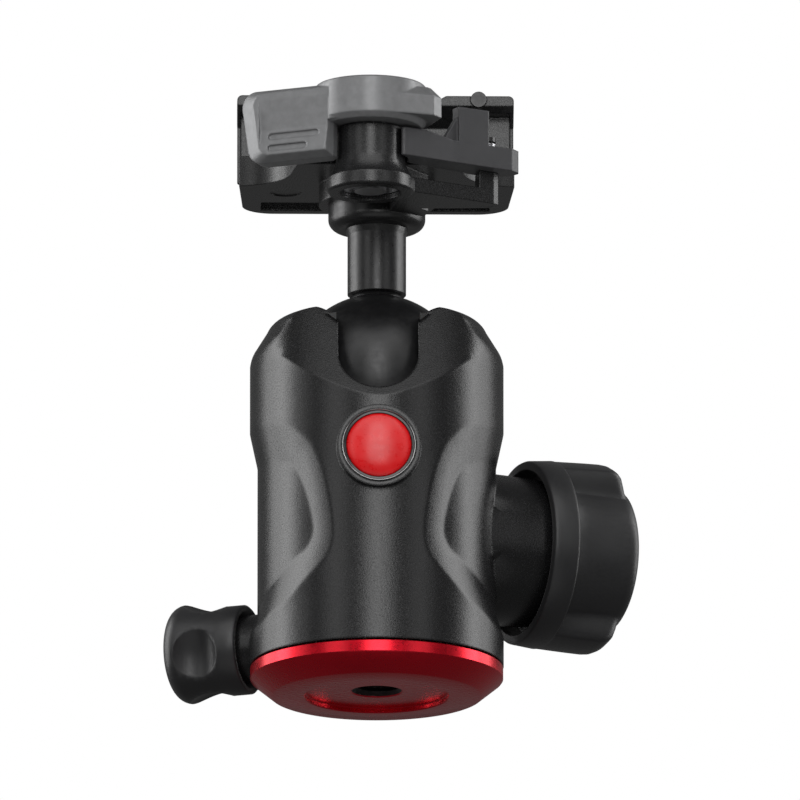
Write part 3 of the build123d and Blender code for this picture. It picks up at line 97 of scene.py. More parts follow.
def tinted(tone, share):
    """A colour made darker or lighter by a share."""
    return tuple(share * part for part in tone)


def rise(tree, surface, value, height, strength=1.0):
    """Bump of the given height in metres from a value, chained onto any normal before it."""
    bump = tree.nodes.new("ShaderNodeBump")
    bump.inputs["Strength"].default_value = strength
    bump.inputs["Distance"].default_value = height
    before = surface.inputs["Normal"].links
    if before:
        tree.links.new(before[0].from_socket, bump.inputs["Normal"])
    tree.links.new(value, bump.inputs["Height"])
    tree.links.new(bump.outputs["Normal"], surface.inputs["Normal"])


def turned_rings(tree, groove):
    """Lathe rings about the upright axis: a slightly uneven wave of the distance from it over
    the groove's size, so that the rings stand 2 pi grooves apart."""
    place = tree.nodes.new("ShaderNodeTexCoord")
    rings = tree.nodes.new("ShaderNodeTexWave")
    rings.wave_type = "RINGS"
    rings.rings_direction = "Z"
    rings.inputs["Scale"].default_value = 1 / (groove * wave_node_rate)
    rings.inputs["Distortion"].default_value = 0.4
    rings.inputs["Detail"].default_value = 2
    rings.inputs["Detail Scale"].default_value = 40
    tree.links.new(place.outputs["Object"], rings.inputs["Vector"])
    return rings.outputs["Fac"]


def anodised_red():
    """Dyed oxide over turned aluminium: a metal tint with faint rings and cloudy gloss."""
    made, tree, surface = shader_tree("red_anodised")
    mottle(tree, surface, "Base Color", 60, 3, (0.60, 0.0, 0.012), (0.70, 0.003, 0.018))
    mottle(tree, surface, "Roughness", 900, 2, 0.24, 0.32)
    surface.inputs["Metallic"].default_value = 0.9
    surface.inputs["Coat Weight"].default_value = 0.3
    surface.inputs["Coat Roughness"].default_value = 0.2
    rise(tree, surface, turned_rings(tree, 0.00012), 0.000003)
    return made


def tapped_hole():
    """The tapped wall: near black, much darker than the red round it, with oily flanks."""
    made, tree, surface = shader_tree("tapped_hole")
    mottle(tree, surface, "Base Color", 1500, 2, (0.010, 0.006, 0.006), (0.035, 0.02, 0.02))
    mottle(tree, surface, "Roughness", 2400, 2, 0.3, 0.45)
    surface.inputs["Metallic"].default_value = 0.6
    rise(tree, surface, noise_at(tree, 3000, 2), 0.00001)
    return made


def rings_mesh(name, radii, heights, crease=30.0):
    """Rings stacked along +Z: row i holds radius radii[i, k] at turn k and height heights[i].
    The last turn joins the first, rings of no radius close to one point, and faces point outwards."""
    rows, turns = radii.shape
    angle = np.arange(turns) * 2 * np.pi / turns
    lift = np.broadcast_to(heights[:, None], radii.shape)
    points = np.stack([radii * np.cos(angle), radii * np.sin(angle), lift], 2)
    low = np.arange(rows - 1)[:, None] * turns + np.arange(turns)
    over = np.arange(rows - 1)[:, None] * turns + (np.arange(turns) + 1) % turns
    quads = np.stack([low, over, over + turns, low + turns], 2).reshape(-1, 4)
    mesh = bpy.data.meshes.new(name)
    mesh.from_pydata((points.reshape(-1, 3) * mm).tolist(), [], quads.tolist())
    shell = bmesh.new()
    shell.from_mesh(mesh)
    bmesh.ops.remove_doubles(shell, verts=shell.verts, dist=1e-7)
    bmesh.ops.recalc_face_normals(shell, faces=shell.faces)
    shell.to_mesh(mesh)
    shell.free()
    mesh.shade_smooth()
    mesh.set_sharp_from_angle(angle=math.radians(crease))
    return mesh


def placed(mesh, material, body, stands_for):
    """A finished piece in the scene: its material, the body it rides on and the node it stands for."""
    piece = bpy.data.objects.new(mesh.name, mesh)
    bpy.context.scene.collection.objects.link(piece)
    mesh.materials.append(material)
    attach(piece, body)
    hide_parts(stands_for)


thread_pitch, thread_minor, thread_major = 1.5875, 3.97, 4.7
mouth_radius, hole_top = 4.95, 13.0
recess_radius, recess_depth, foot_radius = 13.6, 1.0, 19.65
rim_radius, rim_low, rim_top = 23.9, 3.45, 5.6
spigot_radius, spigot_top = 11.5, 17.3
groove_radius, groove_low, groove_high = 10.6, 15.05, 15.99
edge_break = 0.15
disc_turns, thread_rows = 144, 170

# The thread is a triangle wave of the climb less the turn, cut flat at crest and root, that
# fades out over the last pitch before the blind end. The countersink widens it at the mouth.
around = np.arange(disc_turns) / disc_turns
climb = np.linspace(hole_top, recess_depth, thread_rows)
wave = np.abs(((climb[:, None] / thread_pitch - around) % 1.0) * 2 - 1)
fade = np.clip((hole_top - climb[:, None]) / thread_pitch, 0, 1)
cut = np.clip((1.15 - 1.3 * wave), 0, 1) * fade
countersink = mouth_radius - (climb[:, None] - recess_depth)
thread_wall = np.maximum(thread_minor + (thread_major - thread_minor) * cut, countersink)
outside = np.array([
    (mouth_radius, recess_depth), (recess_radius - edge_break, recess_depth),
    (recess_radius, recess_depth - edge_break), (recess_radius, 0.2), (recess_radius + 0.2, 0.0),
    (foot_radius, 0.0), (foot_radius + 0.3, 0.13), (rim_radius - 0.2, rim_low - 0.28),
    (rim_radius, rim_low), (rim_radius, rim_top - edge_break), (rim_radius - edge_break, rim_top),
    (spigot_radius, rim_top), (spigot_radius, groove_low), (groove_radius, groove_low),
    (groove_radius, groove_high), (spigot_radius, groove_high), (spigot_radius, spigot_top - 0.3),
    (spigot_radius - 0.3, spigot_top), (0.0, spigot_top)])
disc_radii = np.vstack([np.zeros((1, disc_turns)), thread_wall, np.repeat(outside[:, :1], disc_turns, 1)])
disc_heights = np.concatenate([[hole_top + thread_minor / 2], climb, outside[:, 1]])
disc = rings_mesh("base_disc_turned", disc_radii, disc_heights)
placed(disc, anodised_red(), "base", "base_disc")
disc.materials.append(tapped_hole())
bore_radius, bore_low, bore_high = 0.00478, 0.0012, 0.0155
in_bore = [max(math.hypot(*disc.vertices[v].co[:2]) for v in face.vertices) < bore_radius
           and bore_low < face.center.z < bore_high for face in disc.polygons]
disc.polygons.foreach_set("material_index", np.array(in_bore, np.int32))


# Pan circlip, pan washer, bearing plate and thrust plate: the parts that hold the housing
# on the base spigot. Spring steel, low-friction polymer, turned aluminium and zinc-plated steel.


def dress(name, material):
    """A CAD node takes one material."""
    node = nodes[name]
    node.data.materials.clear()
    node.data.materials.append(material)


def bright_metal(name, tone, low, high):
    """Turned or plated metal: rings about the upright axis and a mottled polish."""
    made, tree, surface = shader_tree(name)
    mottle(tree, surface, "Base Color", 500, 3, tinted(tone, 0.82), tone)
    mottle(tree, surface, "Roughness", 1400, 2, low, high)
    surface.inputs["Metallic"].default_value = 1.0
    rise(tree, surface, turned_rings(tree, 0.0002), 0.000006)
    return made


def slick_polymer(name, tone):
    """Bearing polymer: slightly waxy, with faint moulding flow marks."""
    made, tree, surface = shader_tree(name)
    mottle(tree, surface, "Base Color", 260, 3, tinted(tone, 0.88), tone)
    mottle(tree, surface, "Roughness", 900, 2, 0.38, 0.5)
    surface.inputs["Subsurface Weight"].default_value = 0.1
    surface.inputs["Subsurface Scale"].default_value = 0.001
    rise(tree, surface, noise_at(tree, 2200), 0.000008)
    return made


spring_steel = bright_metal("spring_steel", (0.55, 0.55, 0.57), 0.22, 0.34)
zinc_steel = bright_metal("zinc_plated_steel", (0.66, 0.66, 0.67), 0.28, 0.42)
turned_aluminium = bright_metal("turned_aluminium", (0.78, 0.79, 0.80), 0.24, 0.36)
white_polymer = slick_polymer("white_polymer", (0.84, 0.83, 0.79))
dress("pan_circlip", spring_steel)
dress("pan_washer", white_polymer)
dress("bearing_plate", turned_aluminium)
dress("thrust_plate", zinc_steel)

# Housing: one aluminium die casting with the ball chamber, the notch, the side pads and
# the knob bosses, covered in a black powder coat whose fine grains sparkle in side light.

wall_radius, pad_depth = 24.0, 1.45
wall_low, wall_high = 6.2, 72.0
pads_low, pads_high = 8.0, 54.0
wall_play, pad_play = 0.03, 0.1  # how far the solid's own facets stray from wall and pads
grid_step = 0.5
row_step = grid_step * 0.87
close_band, border_clear = 1.3, 0.22
band_soft, band_overrun = 0.02, 0.3
coat_grain = 4200  # blobs of powder per metre
mm_in_metre = 1000
merge_gap = 2e-6

# Front half of each pad's contour, as (distance out from the middle plane x = 0, height).
pad_rim = np.array([
    (24.0, 51.0), (21.8, 50.3), (17.4, 48.7), (14.5, 46.5), (12.6, 44.0), (10.7, 39.3), (9.2, 32.6),
    (8.6, 27.6), (8.85, 24.6), (9.8, 22.3), (11.7, 20.2), (14.5, 17.5), (17.4, 14.9), (21.8, 12.2),
    (24.0, 11.2)])
pad_floor = np.array([
    (22.55, 44.3), (21.8, 43.6), (18.6, 42.6), (16.4, 41.2), (15.0, 39.3), (13.6, 35.2), (12.6, 30.4),
    (12.4, 27.4), (13.4, 24.8), (15.3, 23.1), (17.4, 21.4), (20.6, 18.2), (22.55, 15.6)])


def points_of(mesh):
    """A mesh's points, one row each, in metres."""
    spots = np.empty(len(mesh.vertices) * 3)
    mesh.vertices.foreach_get("co", spots)
    return spots.reshape(-1, 3)


def smooth_line(marks, steps=12):
    """A curve through marks: Catmull-Rom pieces, each a cubic of its four nearest marks."""
    ends = np.vstack([2 * marks[:1] - marks[1:2], marks, 2 * marks[-1:] - marks[-2:-1]])
    a, b, c, d = ends[:-3], ends[1:-2], ends[2:-1], ends[3:]
    t = np.linspace(0, 1, steps, endpoint=False)[:, None, None]
    square, cube = 2 * a - 5 * b + 4 * c - d, 3 * b - a - 3 * c + d
    line = 0.5 * (2 * b + (c - a) * t + square * t ** 2 + cube * t ** 3)
    return np.vstack([line.transpose(1, 0, 2).reshape(-1, 2), marks[-1:]])


def unrolled_loop(marks, radius):
    """A pad contour on the unrolled wall: arc length from the side, then height. The front
    half is the marks at their arc, and the back half is its mirror image."""
    front = smooth_line(marks)
    arc = wall_radius * (np.pi / 2 - np.arcsin(np.clip(front[:, 0] / radius, -1, 1)))
    half = np.column_stack([-arc, front[:, 1]])
    return np.vstack([half, half[::-1] * (-1, 1)])


def gap_to(starts, ends, spots):
    """Distance of each spot from the nearest of some straight edges, and whether it lies inside
    the loops they close, which it does if a level line from it meets an odd number of them."""
    nearest = np.full(len(spots), np.inf)
    inside = np.zeros(len(spots), bool)
    for p, q in zip(starts, ends):
        run = q - p
        share = np.clip(((spots - p) @ run) / max(run @ run, 1e-12), 0, 1)
        nearest = np.minimum(nearest, np.hypot(*(spots - p - share[:, None] * run).T))
        if p[1] != q[1]:
            crosses = (p[1] > spots[:, 1]) != (q[1] > spots[:, 1])
            inside ^= crosses & (spots[:, 0] < p[0] + (spots[:, 1] - p[1]) * run[0] / run[1])
    return nearest, inside


def loop_gap(loop, spots):
    """The same, for one closed loop of points."""
    return gap_to(loop, np.roll(loop, -1, 0), spots)


rim_loop = unrolled_loop(pad_rim, wall_radius)
floor_loop = unrolled_loop(pad_floor, wall_radius - pad_depth)


def wall_reach(spots):
    """Radius of the housing wall at (arc from the side, height): the full radius outside the
    rim, the pad's depth less inside the floor, and a straight slope with rounded ends between."""
    from_rim, in_rim = loop_gap(rim_loop, spots)
    from_floor, in_floor = loop_gap(floor_loop, spots)
    slope = from_rim / (from_rim + from_floor + 1e-9)
    share = np.where(in_floor, 1.0 + band_overrun * from_floor, slope)
    share = np.where(in_rim, share, -band_overrun * from_rim)
    sunk = 0.5 * (share + np.sqrt(share ** 2 + band_soft ** 2))
    left = 0.5 * ((1 - sunk) + np.sqrt((1 - sunk) ** 2 + band_soft ** 2))
    return wall_radius - pad_depth * np.clip(1 - left, 0, 1)


def merged_casting():
    """The CAD casting's points in mm and its triangles, merged and parted along x = 0."""
    cast = bmesh.new()
    cast.from_mesh(nodes["body_housing"].data)
    bmesh.ops.remove_doubles(cast, verts=cast.verts, dist=merge_gap)
    bmesh.ops.bisect_plane(cast, geom=cast.verts[:] + cast.edges[:] + cast.faces[:], dist=1e-7,
                           plane_co=(0, 0, 0), plane_no=(1, 0, 0))
    bmesh.ops.triangulate(cast, faces=cast.faces[:])
    bare = bpy.data.meshes.new("housing_bare")
    cast.to_mesh(bare)
    cast.free()
    spots = points_of(bare) * mm_in_metre
    corners = np.empty(len(bare.polygons) * 3, int)
    bare.polygons.foreach_get("vertices", corners)
    bpy.data.meshes.remove(bare)
    return spots, corners.reshape(-1, 3)


def side_wall(spots, corners):
    """Which triangles are the outer side wall with its pads: all three corners lie at the wall's
    reach or in the pads, and the face points outwards or stands at the pads' height."""
    reach, height = np.hypot(spots[:, 0], spots[:, 1]), spots[:, 2]
    on_wall = np.abs(reach - wall_radius) < wall_play
    in_reach = (reach > wall_radius - pad_depth - pad_play) & (reach < wall_radius + wall_play)
    in_pads = in_reach & (height > pads_low) & (height < pads_high)
    first = spots[corners[:, 1]] - spots[corners[:, 0]]
    normal = np.cross(first, spots[corners[:, 2]] - spots[corners[:, 0]])
    normal /= np.linalg.norm(normal, axis=1)[:, None] + 1e-12
    middle = spots[corners].mean(1)
    outward = (normal[:, :2] * middle[:, :2]).sum(1) / np.hypot(middle[:, 0], middle[:, 1])
    beside_pads = (middle[:, 2] > pads_low + 1) & (middle[:, 2] < pads_high - 1)
    return (on_wall | in_pads)[corners].all(1) & ((outward > 0.5) | beside_pads)


def filling_grid(starts, ends):
    """Staggered grid points inside the border edges: all of them in and round the pads, and
    about one in seventeen elsewhere."""
    rows = np.arange(wall_low, wall_high, row_step)
    across = np.arange(-wall_radius * np.pi / 2, wall_radius * np.pi / 2, grid_step)
    grid = np.stack(np.meshgrid(across, rows), 2)
    grid[1::2, :, 0] += grid_step / 2
    grid = grid.reshape(-1, 2)
    from_rim, in_rim = loop_gap(rim_loop, grid)
    busy = (from_rim < close_band) | (loop_gap(floor_loop, grid)[0] < close_band) | in_rim
    third_row = np.round(grid[:, 1] / row_step) % 3 == 0
    third_across = np.round(grid[:, 0] / (grid_step / 2)) % 6 == 0
    grid = grid[busy | (third_row & third_across)]
    near, inside = gap_to(starts, ends, grid)
    return grid[inside & (near > border_clear)]


def laid_half(spots, wall, way):
    """One half of the wall, unrolled to arc and height: the border of its triangles stays, a
    grid fills it, and a Delaunay mesh joins them and is rolled up again at wall_reach. Gives the
    points, the faces, which points lie on the border, and what those were before."""
    edges = np.sort(np.vstack([wall[:, [0, 1]], wall[:, [1, 2]], wall[:, [2, 0]]]), 1)
    edges, uses = np.unique(edges, axis=0, return_counts=True)
    edges = edges[uses == 1]
    border = np.unique(edges)
    index = np.full(len(spots), -1)
    index[border] = np.arange(len(border))
    edges = index[edges]
    angle = np.arctan2(spots[border, 1] * way, spots[border, 0] * way)
    flat = np.column_stack([angle * wall_radius, spots[border, 2]])
    starts, ends = flat[edges[:, 0]], flat[edges[:, 1]]
    every = [Vector(p) for p in np.vstack([flat, filling_grid(starts, ends)])]
    laid, _, faces, origins, _, _ = delaunay_2d_cdt(every, edges.tolist(), [], 0, 1e-6)
    laid = np.array([tuple(p) for p in laid])
    faces = np.array([f for f in faces if len(f) == 3])
    faces = faces[gap_to(starts, ends, laid[faces].mean(1))[1]]
    source = np.array([o[0] if o else -1 for o in origins])
    is_border = (source >= 0) & (source < len(border))
    out, turned = wall_reach(laid), laid[:, 0] / wall_radius
    rolled = np.column_stack([out * np.cos(turned) * way, out * np.sin(turned) * way, laid[:, 1]])
    return rolled, faces, is_border, border[source[is_border]]


def pad_walls():
    """The casting with sloped pads: its merged CAD copy loses the side wall, and the two halves
    of the wall come back, laid anew and sewn on at their borders."""
    spots, corners = merged_casting()
    wall = side_wall(spots, corners)
    side = spots[corners].mean(1)[:, 0]
    points, faces = [spots.copy()], [corners[~wall]]
    count = len(spots)
    for way in (1, -1):
        rolled, new_faces, is_border, border = laid_half(spots, corners[wall & (side * way > 0)], way)
        where = np.arange(len(rolled)) + count
        where[is_border] = border
        points[0][border] = rolled[is_border]
        points.append(rolled)
        faces.append(where[new_faces])
        count += len(rolled)
    mesh = bpy.data.meshes.new("housing_casting")
    mesh.from_pydata((np.vstack(points) * mm).tolist(), [], np.vstack(faces).tolist())
    sewn = bmesh.new()
    sewn.from_mesh(mesh)
    bmesh.ops.delete(sewn, geom=[v for v in sewn.verts if not v.link_faces], context="VERTS")
    bmesh.ops.remove_doubles(sewn, verts=sewn.verts, dist=merge_gap)
    sewn.to_mesh(mesh)
    sewn.free()
    mesh.shade_smooth()
    mesh.set_sharp_from_angle(angle=math.radians(24))
    return mesh


def soft_edge(tree, surface, radius):
    """Edges read as rounded to this radius, as a cast, moulded or coated edge is."""
    round_off = tree.nodes.new("ShaderNodeBevel")
    round_off.samples = 6
    round_off.inputs["Radius"].default_value = radius
    tree.links.new(round_off.outputs["Normal"], surface.inputs["Normal"])


def powder_coat(name, tone, gloss, height, edge):
    """Black powder coat: cured grains as bump, an uneven tone whose lightest crests are painted glints, and
    an uneven gloss.
    """
    made, tree, surface = shader_tree(name)
    soft_edge(tree, surface, edge)
    fine = noise_at(tree, coat_grain, 2, 0.6)
    # painted glints: where the grain noise is high, on the bump's crests, the colour rises to three and a
    # half times the tone
    grain_tone_and_glints = ramp(tree, fine, [(0.40, tinted(tone, 0.5)), (0.62, tone), (0.74, tinted(tone, 3.5))])
    tree.links.new(grain_tone_and_glints, surface.inputs["Base Color"])
    mottle(tree, surface, "Roughness", coat_grain * 0.8, 2, *gloss)
    rise(tree, surface, fine, height, 0.9)
    rise(tree, surface, noise_at(tree, 420, 1), 0.00003, 0.5)
    return made


housing_coat = powder_coat("housing_powder_coat", (0.010, 0.010, 0.0105), (0.22, 0.30), 0.00003, 0.0006)
placed(pad_walls(), housing_coat, "housing", "body_housing")

# Badge: a black plastic bezel pressed into the boss on the front, round a domed red resin disc that
# is left bare; the highlight on its polished front edge is painted in as a bright metal ring.

badge_height, badge_back, bezel_bore = 42.8, 23.72, 6.17
lens_foot, lens_rise, lens_radius, lens_fullness = 25.35, 1.35, 6.15, 0.62
# the bright crown between these radii is a painted highlight ring
highlight_ring_radii = (0.672, 0.676, 0.689, 0.6925)  # radii of the bright crown, in cm


def move_points(mesh, spots):
    """Every point of the mesh goes to its row of spots."""
    mesh.vertices.foreach_set("co", spots.ravel())
    mesh.update()


def laid_along(mesh, first, second, out, height):
    """A piece turned about +Z is laid over: its x, y and z run along the three directions, from
    the point of the upright axis at the height."""
    move_points(mesh, points_of(mesh) @ np.array([first, second, out]) + (0, 0, height * mm))
    return mesh


def badge_rings(name, outline, crease=30.0):
    """A turned piece of the badge: each (radius, height) of the outline swept round, then laid
    over to point along -Y."""
    outline = np.array(outline)
    mesh = rings_mesh(name, np.repeat(outline[:, :1], 128, 1), outline[:, 1], crease)
    return laid_along(mesh, (1, 0, 0), (0, 0, 1), (0, -1, 0), badge_height)


def bezel_plastic():
    """Gloss black moulding; the crown of its rim, between two radii, carries a painted highlight: bright
    metal in its colour.
    """
    made, tree, surface = shader_tree("badge_bezel_gloss")
    place = tree.nodes.new("ShaderNodeTexCoord")
    shift = tree.nodes.new("ShaderNodeVectorMath")
    shift.operation = "SUBTRACT"
    shift.inputs[1].default_value = (0, 0, badge_height * mm)
    flat = tree.nodes.new("ShaderNodeVectorMath")
    flat.operation = "MULTIPLY"
    flat.inputs[1].default_value = (1, 0, 1)
    far = tree.nodes.new("ShaderNodeVectorMath")
    far.operation = "LENGTH"
    in_cm = tree.nodes.new("ShaderNodeMath")
    in_cm.operation = "MULTIPLY"
    in_cm.inputs[1].default_value = 100
    tree.links.new(place.outputs["Object"], shift.inputs[0])
    tree.links.new(shift.outputs["Vector"], flat.inputs[0])
    tree.links.new(flat.outputs["Vector"], far.inputs[0])
    tree.links.new(far.outputs["Value"], in_cm.inputs[0])
    # painted highlight: between these radii the rim turns bright metal, standing in for the gleam of its
    # polished edge
    for socket, dark, bright in (("Metallic", 0.0, 1.0), ("Base Color", 0.008, 0.62)):
        painted_ring = ramp(tree, in_cm.outputs["Value"], list(zip(highlight_ring_radii, (dark, bright, bright, dark))))
        tree.links.new(painted_ring, surface.inputs[socket])
    mottle(tree, surface, "Roughness", 1200, 2, 0.12, 0.2)
    rise(tree, surface, noise_at(tree, 600, 1), 0.000004)
    return made


def red_resin():
    """Red resin with a thin clear skin and the slightest swirl."""
    made, tree, surface = shader_tree("badge_red_resin")
    tone = (0.86, 0.003, 0.006)
    mottle(tree, surface, "Base Color", 300, 2, tinted(tone, 0.9), tone)
    mottle(tree, surface, "Roughness", 1200, 2, 0.24, 0.39)
    surface.inputs["Coat Weight"].default_value = 0.15
    surface.inputs["Coat Roughness"].default_value = 0.2
    rise(tree, surface, noise_at(tree, 240, 1), 0.000004)
    return made


bezel = badge_rings("badge_bezel_rim", [
    (bezel_bore, badge_back), (bezel_bore, 25.5), (6.24, 25.56), (6.4, 25.58), (6.6, 25.6), (6.7, 25.68),
    (6.76, 25.86), (6.8, 25.96), (6.86, 25.985), (6.9, 25.93), (6.925, 25.8), (6.93, 25.6),
    (6.93, badge_back + 0.1), (6.83, badge_back), (bezel_bore, badge_back)])
placed(bezel, bezel_plastic(), "housing", "badge_bezel")

# The dome rises as (1 - share of the radius squared) to the power of its fullness.
across = np.linspace(1, 0, 22)[1:]
bulge = lens_foot + lens_rise * (1 - across * across) ** lens_fullness
flank = [(0.0, badge_back), (lens_radius, badge_back), (lens_radius, lens_foot)]
dome = badge_rings("badge_dome_lens", flank + list(zip(lens_radius * across, bulge)), 50.0)
placed(dome, red_resin(), "housing", "badge_dome")

# Ball lock: a brass wedge on a zinc-plated screw lifts the aluminium piston and its disc
# springs, which press the polymer cup against the ball. The screw turns in a brass bush.

turned_brass = bright_metal("turned_brass", (0.80, 0.58, 0.26), 0.24, 0.36)
dress("lock_wedge", turned_brass)
dress("lock_bush", turned_brass)
dress("lock_screw", zinc_steel)
dress("lock_piston", turned_aluminium)
dress("disc_springs", spring_steel)
dress("lower_ball_cup", white_polymer)
dress("upper_ball_ring", slick_polymer("black_polymer", (0.022, 0.022, 0.022)))

# Knobs: hard plastic cores overmoulded in soft black rubber-like plastic, smooth to the
# hand. A dull skin with a fine spark-eroded texture and a trace of sheen.

lock_out, lock_height = (0.927184, 0.374607, 0.0), 30.7
pan_out, pan_height, pan_turn = (-0.929133, 0.369747, 0.0), 11.3, -13
screw_radius, hex_radius, cap_radius, cup_radius = 4.02, 6.6, 8.5, 15.8
knob_start, cup_floor, hex_floor, cap_seat = 29.4, 33.62, 40.5, 45.8
hollow_at, flank_low, flank_high = 98.0, 52.0, 64.0

# The lock knob's section, as (radius, place along the screw) for the band and the end face,
# and as (barrel radius, wing radius, place) between them.
knob_band = [
    (screw_radius, hex_floor), (screw_radius, cup_floor), (cup_radius, cup_floor), (cup_radius, knob_start),
    (17.0, knob_start), (17.3, 29.5), (17.5, 29.9), (17.65, 31.5), (17.9, 34.0), (17.85, 34.2)]
knob_wings = [
    (15.0, 17.8, 34.25), (14.6, 17.85, 35.5), (14.3, 17.95, 38.0), (14.2, 18.05, 41.0), (14.15, 18.1, 43.6),
    (14.1, 18.0, 44.6), (14.05, 17.6, 45.5), (14.0, 16.9, 46.2), (13.95, 15.6, 46.8), (13.85, 14.4, 47.2)]
knob_end = [
    (13.7, 47.7), (13.4, 48.15), (12.9, 48.45), (12.2, 48.6), (9.6, 48.55), (8.8, 48.4), (8.55, 48.1),
    (cap_radius, cap_seat), (hex_radius, cap_seat), (hex_radius, hex_floor), (screw_radius, hex_floor)]


def soft_touch(name, tone, gloss, edge):
    """Soft-touch moulding: fine spark texture, dull gloss and a little sheen at the edges."""
    made, tree, surface = shader_tree(name)
    soft_edge(tree, surface, edge)
    mottle(tree, surface, "Base Color", 200, 3, tinted(tone, 0.88), tone)
    mottle(tree, surface, "Roughness", 2400, 2, *gloss)
    surface.inputs["Sheen Weight"].default_value = 0.05
    surface.inputs["Sheen Roughness"].default_value = 0.4
    rise(tree, surface, noise_at(tree, 5200, 2, 0.6), 0.00001, 0.6)
    return made


def winged_knob(turns=360):
    """The large knob about its screw: a cupped band, then a barrel with two wide wings. Beyond
    the band the radius is barrel + (wing - barrel) * share, where the share rises smoothly from
    0 to 1 between the two flank angles, counted from the middle of a finger hollow."""
    angle = np.degrees(np.arange(turns) * 2 * np.pi / turns)
    from_hollow = np.abs((angle - hollow_at + 90) % 180 - 90)
    climb = np.clip((from_hollow - flank_low) / (flank_high - flank_low), 0, 1)
    share = climb * climb * (3 - 2 * climb)
    radii = [np.full(turns, radius) for radius, _ in knob_band]
    radii += [barrel + (wing - barrel) * share for barrel, wing, _ in knob_wings]
    radii += [np.full(turns, radius) for radius, _ in knob_end]
    places = np.array([row[-1] for row in knob_band + knob_wings + knob_end])
    mesh = rings_mesh("lock_knob_moulding", np.array(radii), places, crease=35.0)
    up = (0.0, 0.0, 1.0)
    return laid_along(mesh, up, np.cross(lock_out, up), lock_out, lock_height)


def pan_knob_turned():
    """The small knob at another turn of its screw: a merged copy whose points turn about the
    screw's axis k, each p becoming p cos + (k x p) sin + k (k . p)(1 - cos)."""
    knob = bmesh.new()
    knob.from_mesh(nodes["pan_lock_knob"].data)
    bmesh.ops.remove_doubles(knob, verts=knob.verts, dist=merge_gap)
    mesh = bpy.data.meshes.new("pan_knob_moulding")
    knob.to_mesh(mesh)
    knob.free()
    foot = np.array((0, 0, pan_height * mm))
    spots = points_of(mesh) - foot
    axis, angle = np.array(pan_out), math.radians(pan_turn)
    along = (spots @ axis)[:, None] * axis * (1 - math.cos(angle))
    spots = spots * math.cos(angle) + np.cross(axis, spots) * math.sin(angle) + along
    move_points(mesh, spots + foot)
    mesh.shade_smooth()
    mesh.set_sharp_from_angle(angle=math.radians(26))
    return mesh


knob_rubber = soft_touch("knob_soft_black", (0.016, 0.016, 0.017), (0.34, 0.46), 0.0006)
placed(winged_knob(), knob_rubber, "lock_knob", "lock_knob")
placed(pan_knob_turned(), knob_rubber, "pan_knob", "pan_lock_knob")
dress("lock_knob_cap", knob_rubber)
dress("pan_knob_cap", knob_rubber)
dress("pan_brake_shoe", turned_brass)
dress("pan_lock_screw", zinc_steel)

# Ball and stem: the ball and its steel neck have a hard matt coat, the sleeve is satin
# black, and the collar is the same finish under the receiver.


def hard_coat(name, tone, gloss, height):
    """Thin hard coating: a dull even grain on a true turned shape."""
    made, tree, surface = shader_tree(name)
    mottle(tree, surface, "Base Color", coat_grain, 2, tinted(tone, 0.8), tinted(tone, 1.3), (0.35, 0.7))
    mottle(tree, surface, "Roughness", 900, 2, *gloss)
    rise(tree, surface, noise_at(tree, coat_grain, 2), height, 0.8)
    return made


ball_coat = hard_coat("ball_matt_coat", (0.006, 0.006, 0.0065), (0.30, 0.40), 0.000008)
stem_coat = hard_coat("stem_satin_black", (0.012, 0.012, 0.0125), (0.26, 0.36), 0.00001)
dress("ball", ball_coat)
dress("ball_stem", ball_coat)
dress("stem_sleeve", stem_coat)
dress("stem_collar", stem_coat)

# Receiver: a second black casting that takes the quick-release plate, held on the stem by
# one bolt, with two turned pins pressed into its jaw.

receiver_coat = powder_coat("receiver_powder_coat", (0.012, 0.012, 0.0125), (0.24, 0.34), 0.000024, 0.0004)
dress("receiver", receiver_coat)
dress("receiver_bolt", zinc_steel)
dress("jaw_pins", stem_coat)

# Lever: a grey-painted die casting on a steel pivot, held by its clip; the torsion spring that
# snaps it shut is wound round the pivot inside the boss.


def grey_paint():
    """Grey satin paint with some metal flake: faint orange peel and a soft gloss."""
    made, tree, surface = shader_tree("lever_grey_paint")
    soft_edge(tree, surface, 0.0006)
    tone = (0.2, 0.202, 0.206)
    mottle(tree, surface, "Base Color", 700, 3, tinted(tone, 0.9), tinted(tone, 1.06))
    mottle(tree, surface, "Roughness", 1800, 2, 0.34, 0.44)
    surface.inputs["Metallic"].default_value = 0.35
    rise(tree, surface, noise_at(tree, 1600, 2), 0.00001, 0.6)
    return made


def coiled(name, centre, mean_radius, wire, low, high, turns):
    """A wound spring: a ring of points of the wire's size carried along a helix of even pitch,
    with closed ends. Ring i stands at turn t_i, and climbs evenly from low to high."""
    steps, sides = int(turns * 40) + 1, 10
    t = np.linspace(0, turns, steps)[:, None] * 2 * np.pi
    s = np.arange(sides) * 2 * np.pi / sides
    reach = mean_radius + wire / 2 * np.cos(s)
    lift = np.linspace(low + wire / 2, high - wire / 2, steps)[:, None] + wire / 2 * np.sin(s)
    spots = np.stack([centre[0] + reach * np.cos(t), centre[1] + reach * np.sin(t), lift], 2)
    at = np.arange(steps - 1)[:, None] * sides
    here, over = at + np.arange(sides), at + (np.arange(sides) + 1) % sides
    quads = np.stack([here + sides, over + sides, over, here], 2).reshape(-1, 4)
    ends = [list(range(sides)), list(range((steps - 1) * sides, steps * sides))[::-1]]
    mesh = bpy.data.meshes.new(name)
    mesh.from_pydata((spots.reshape(-1, 3) * mm).tolist(), [], quads.tolist() + ends)
    shell = bmesh.new()
    shell.from_mesh(mesh)
    bmesh.ops.recalc_face_normals(shell, faces=shell.faces)
    shell.to_mesh(mesh)
    shell.free()
    mesh.shade_smooth()
    mesh.set_sharp_from_angle(angle=math.radians(50))
    return mesh


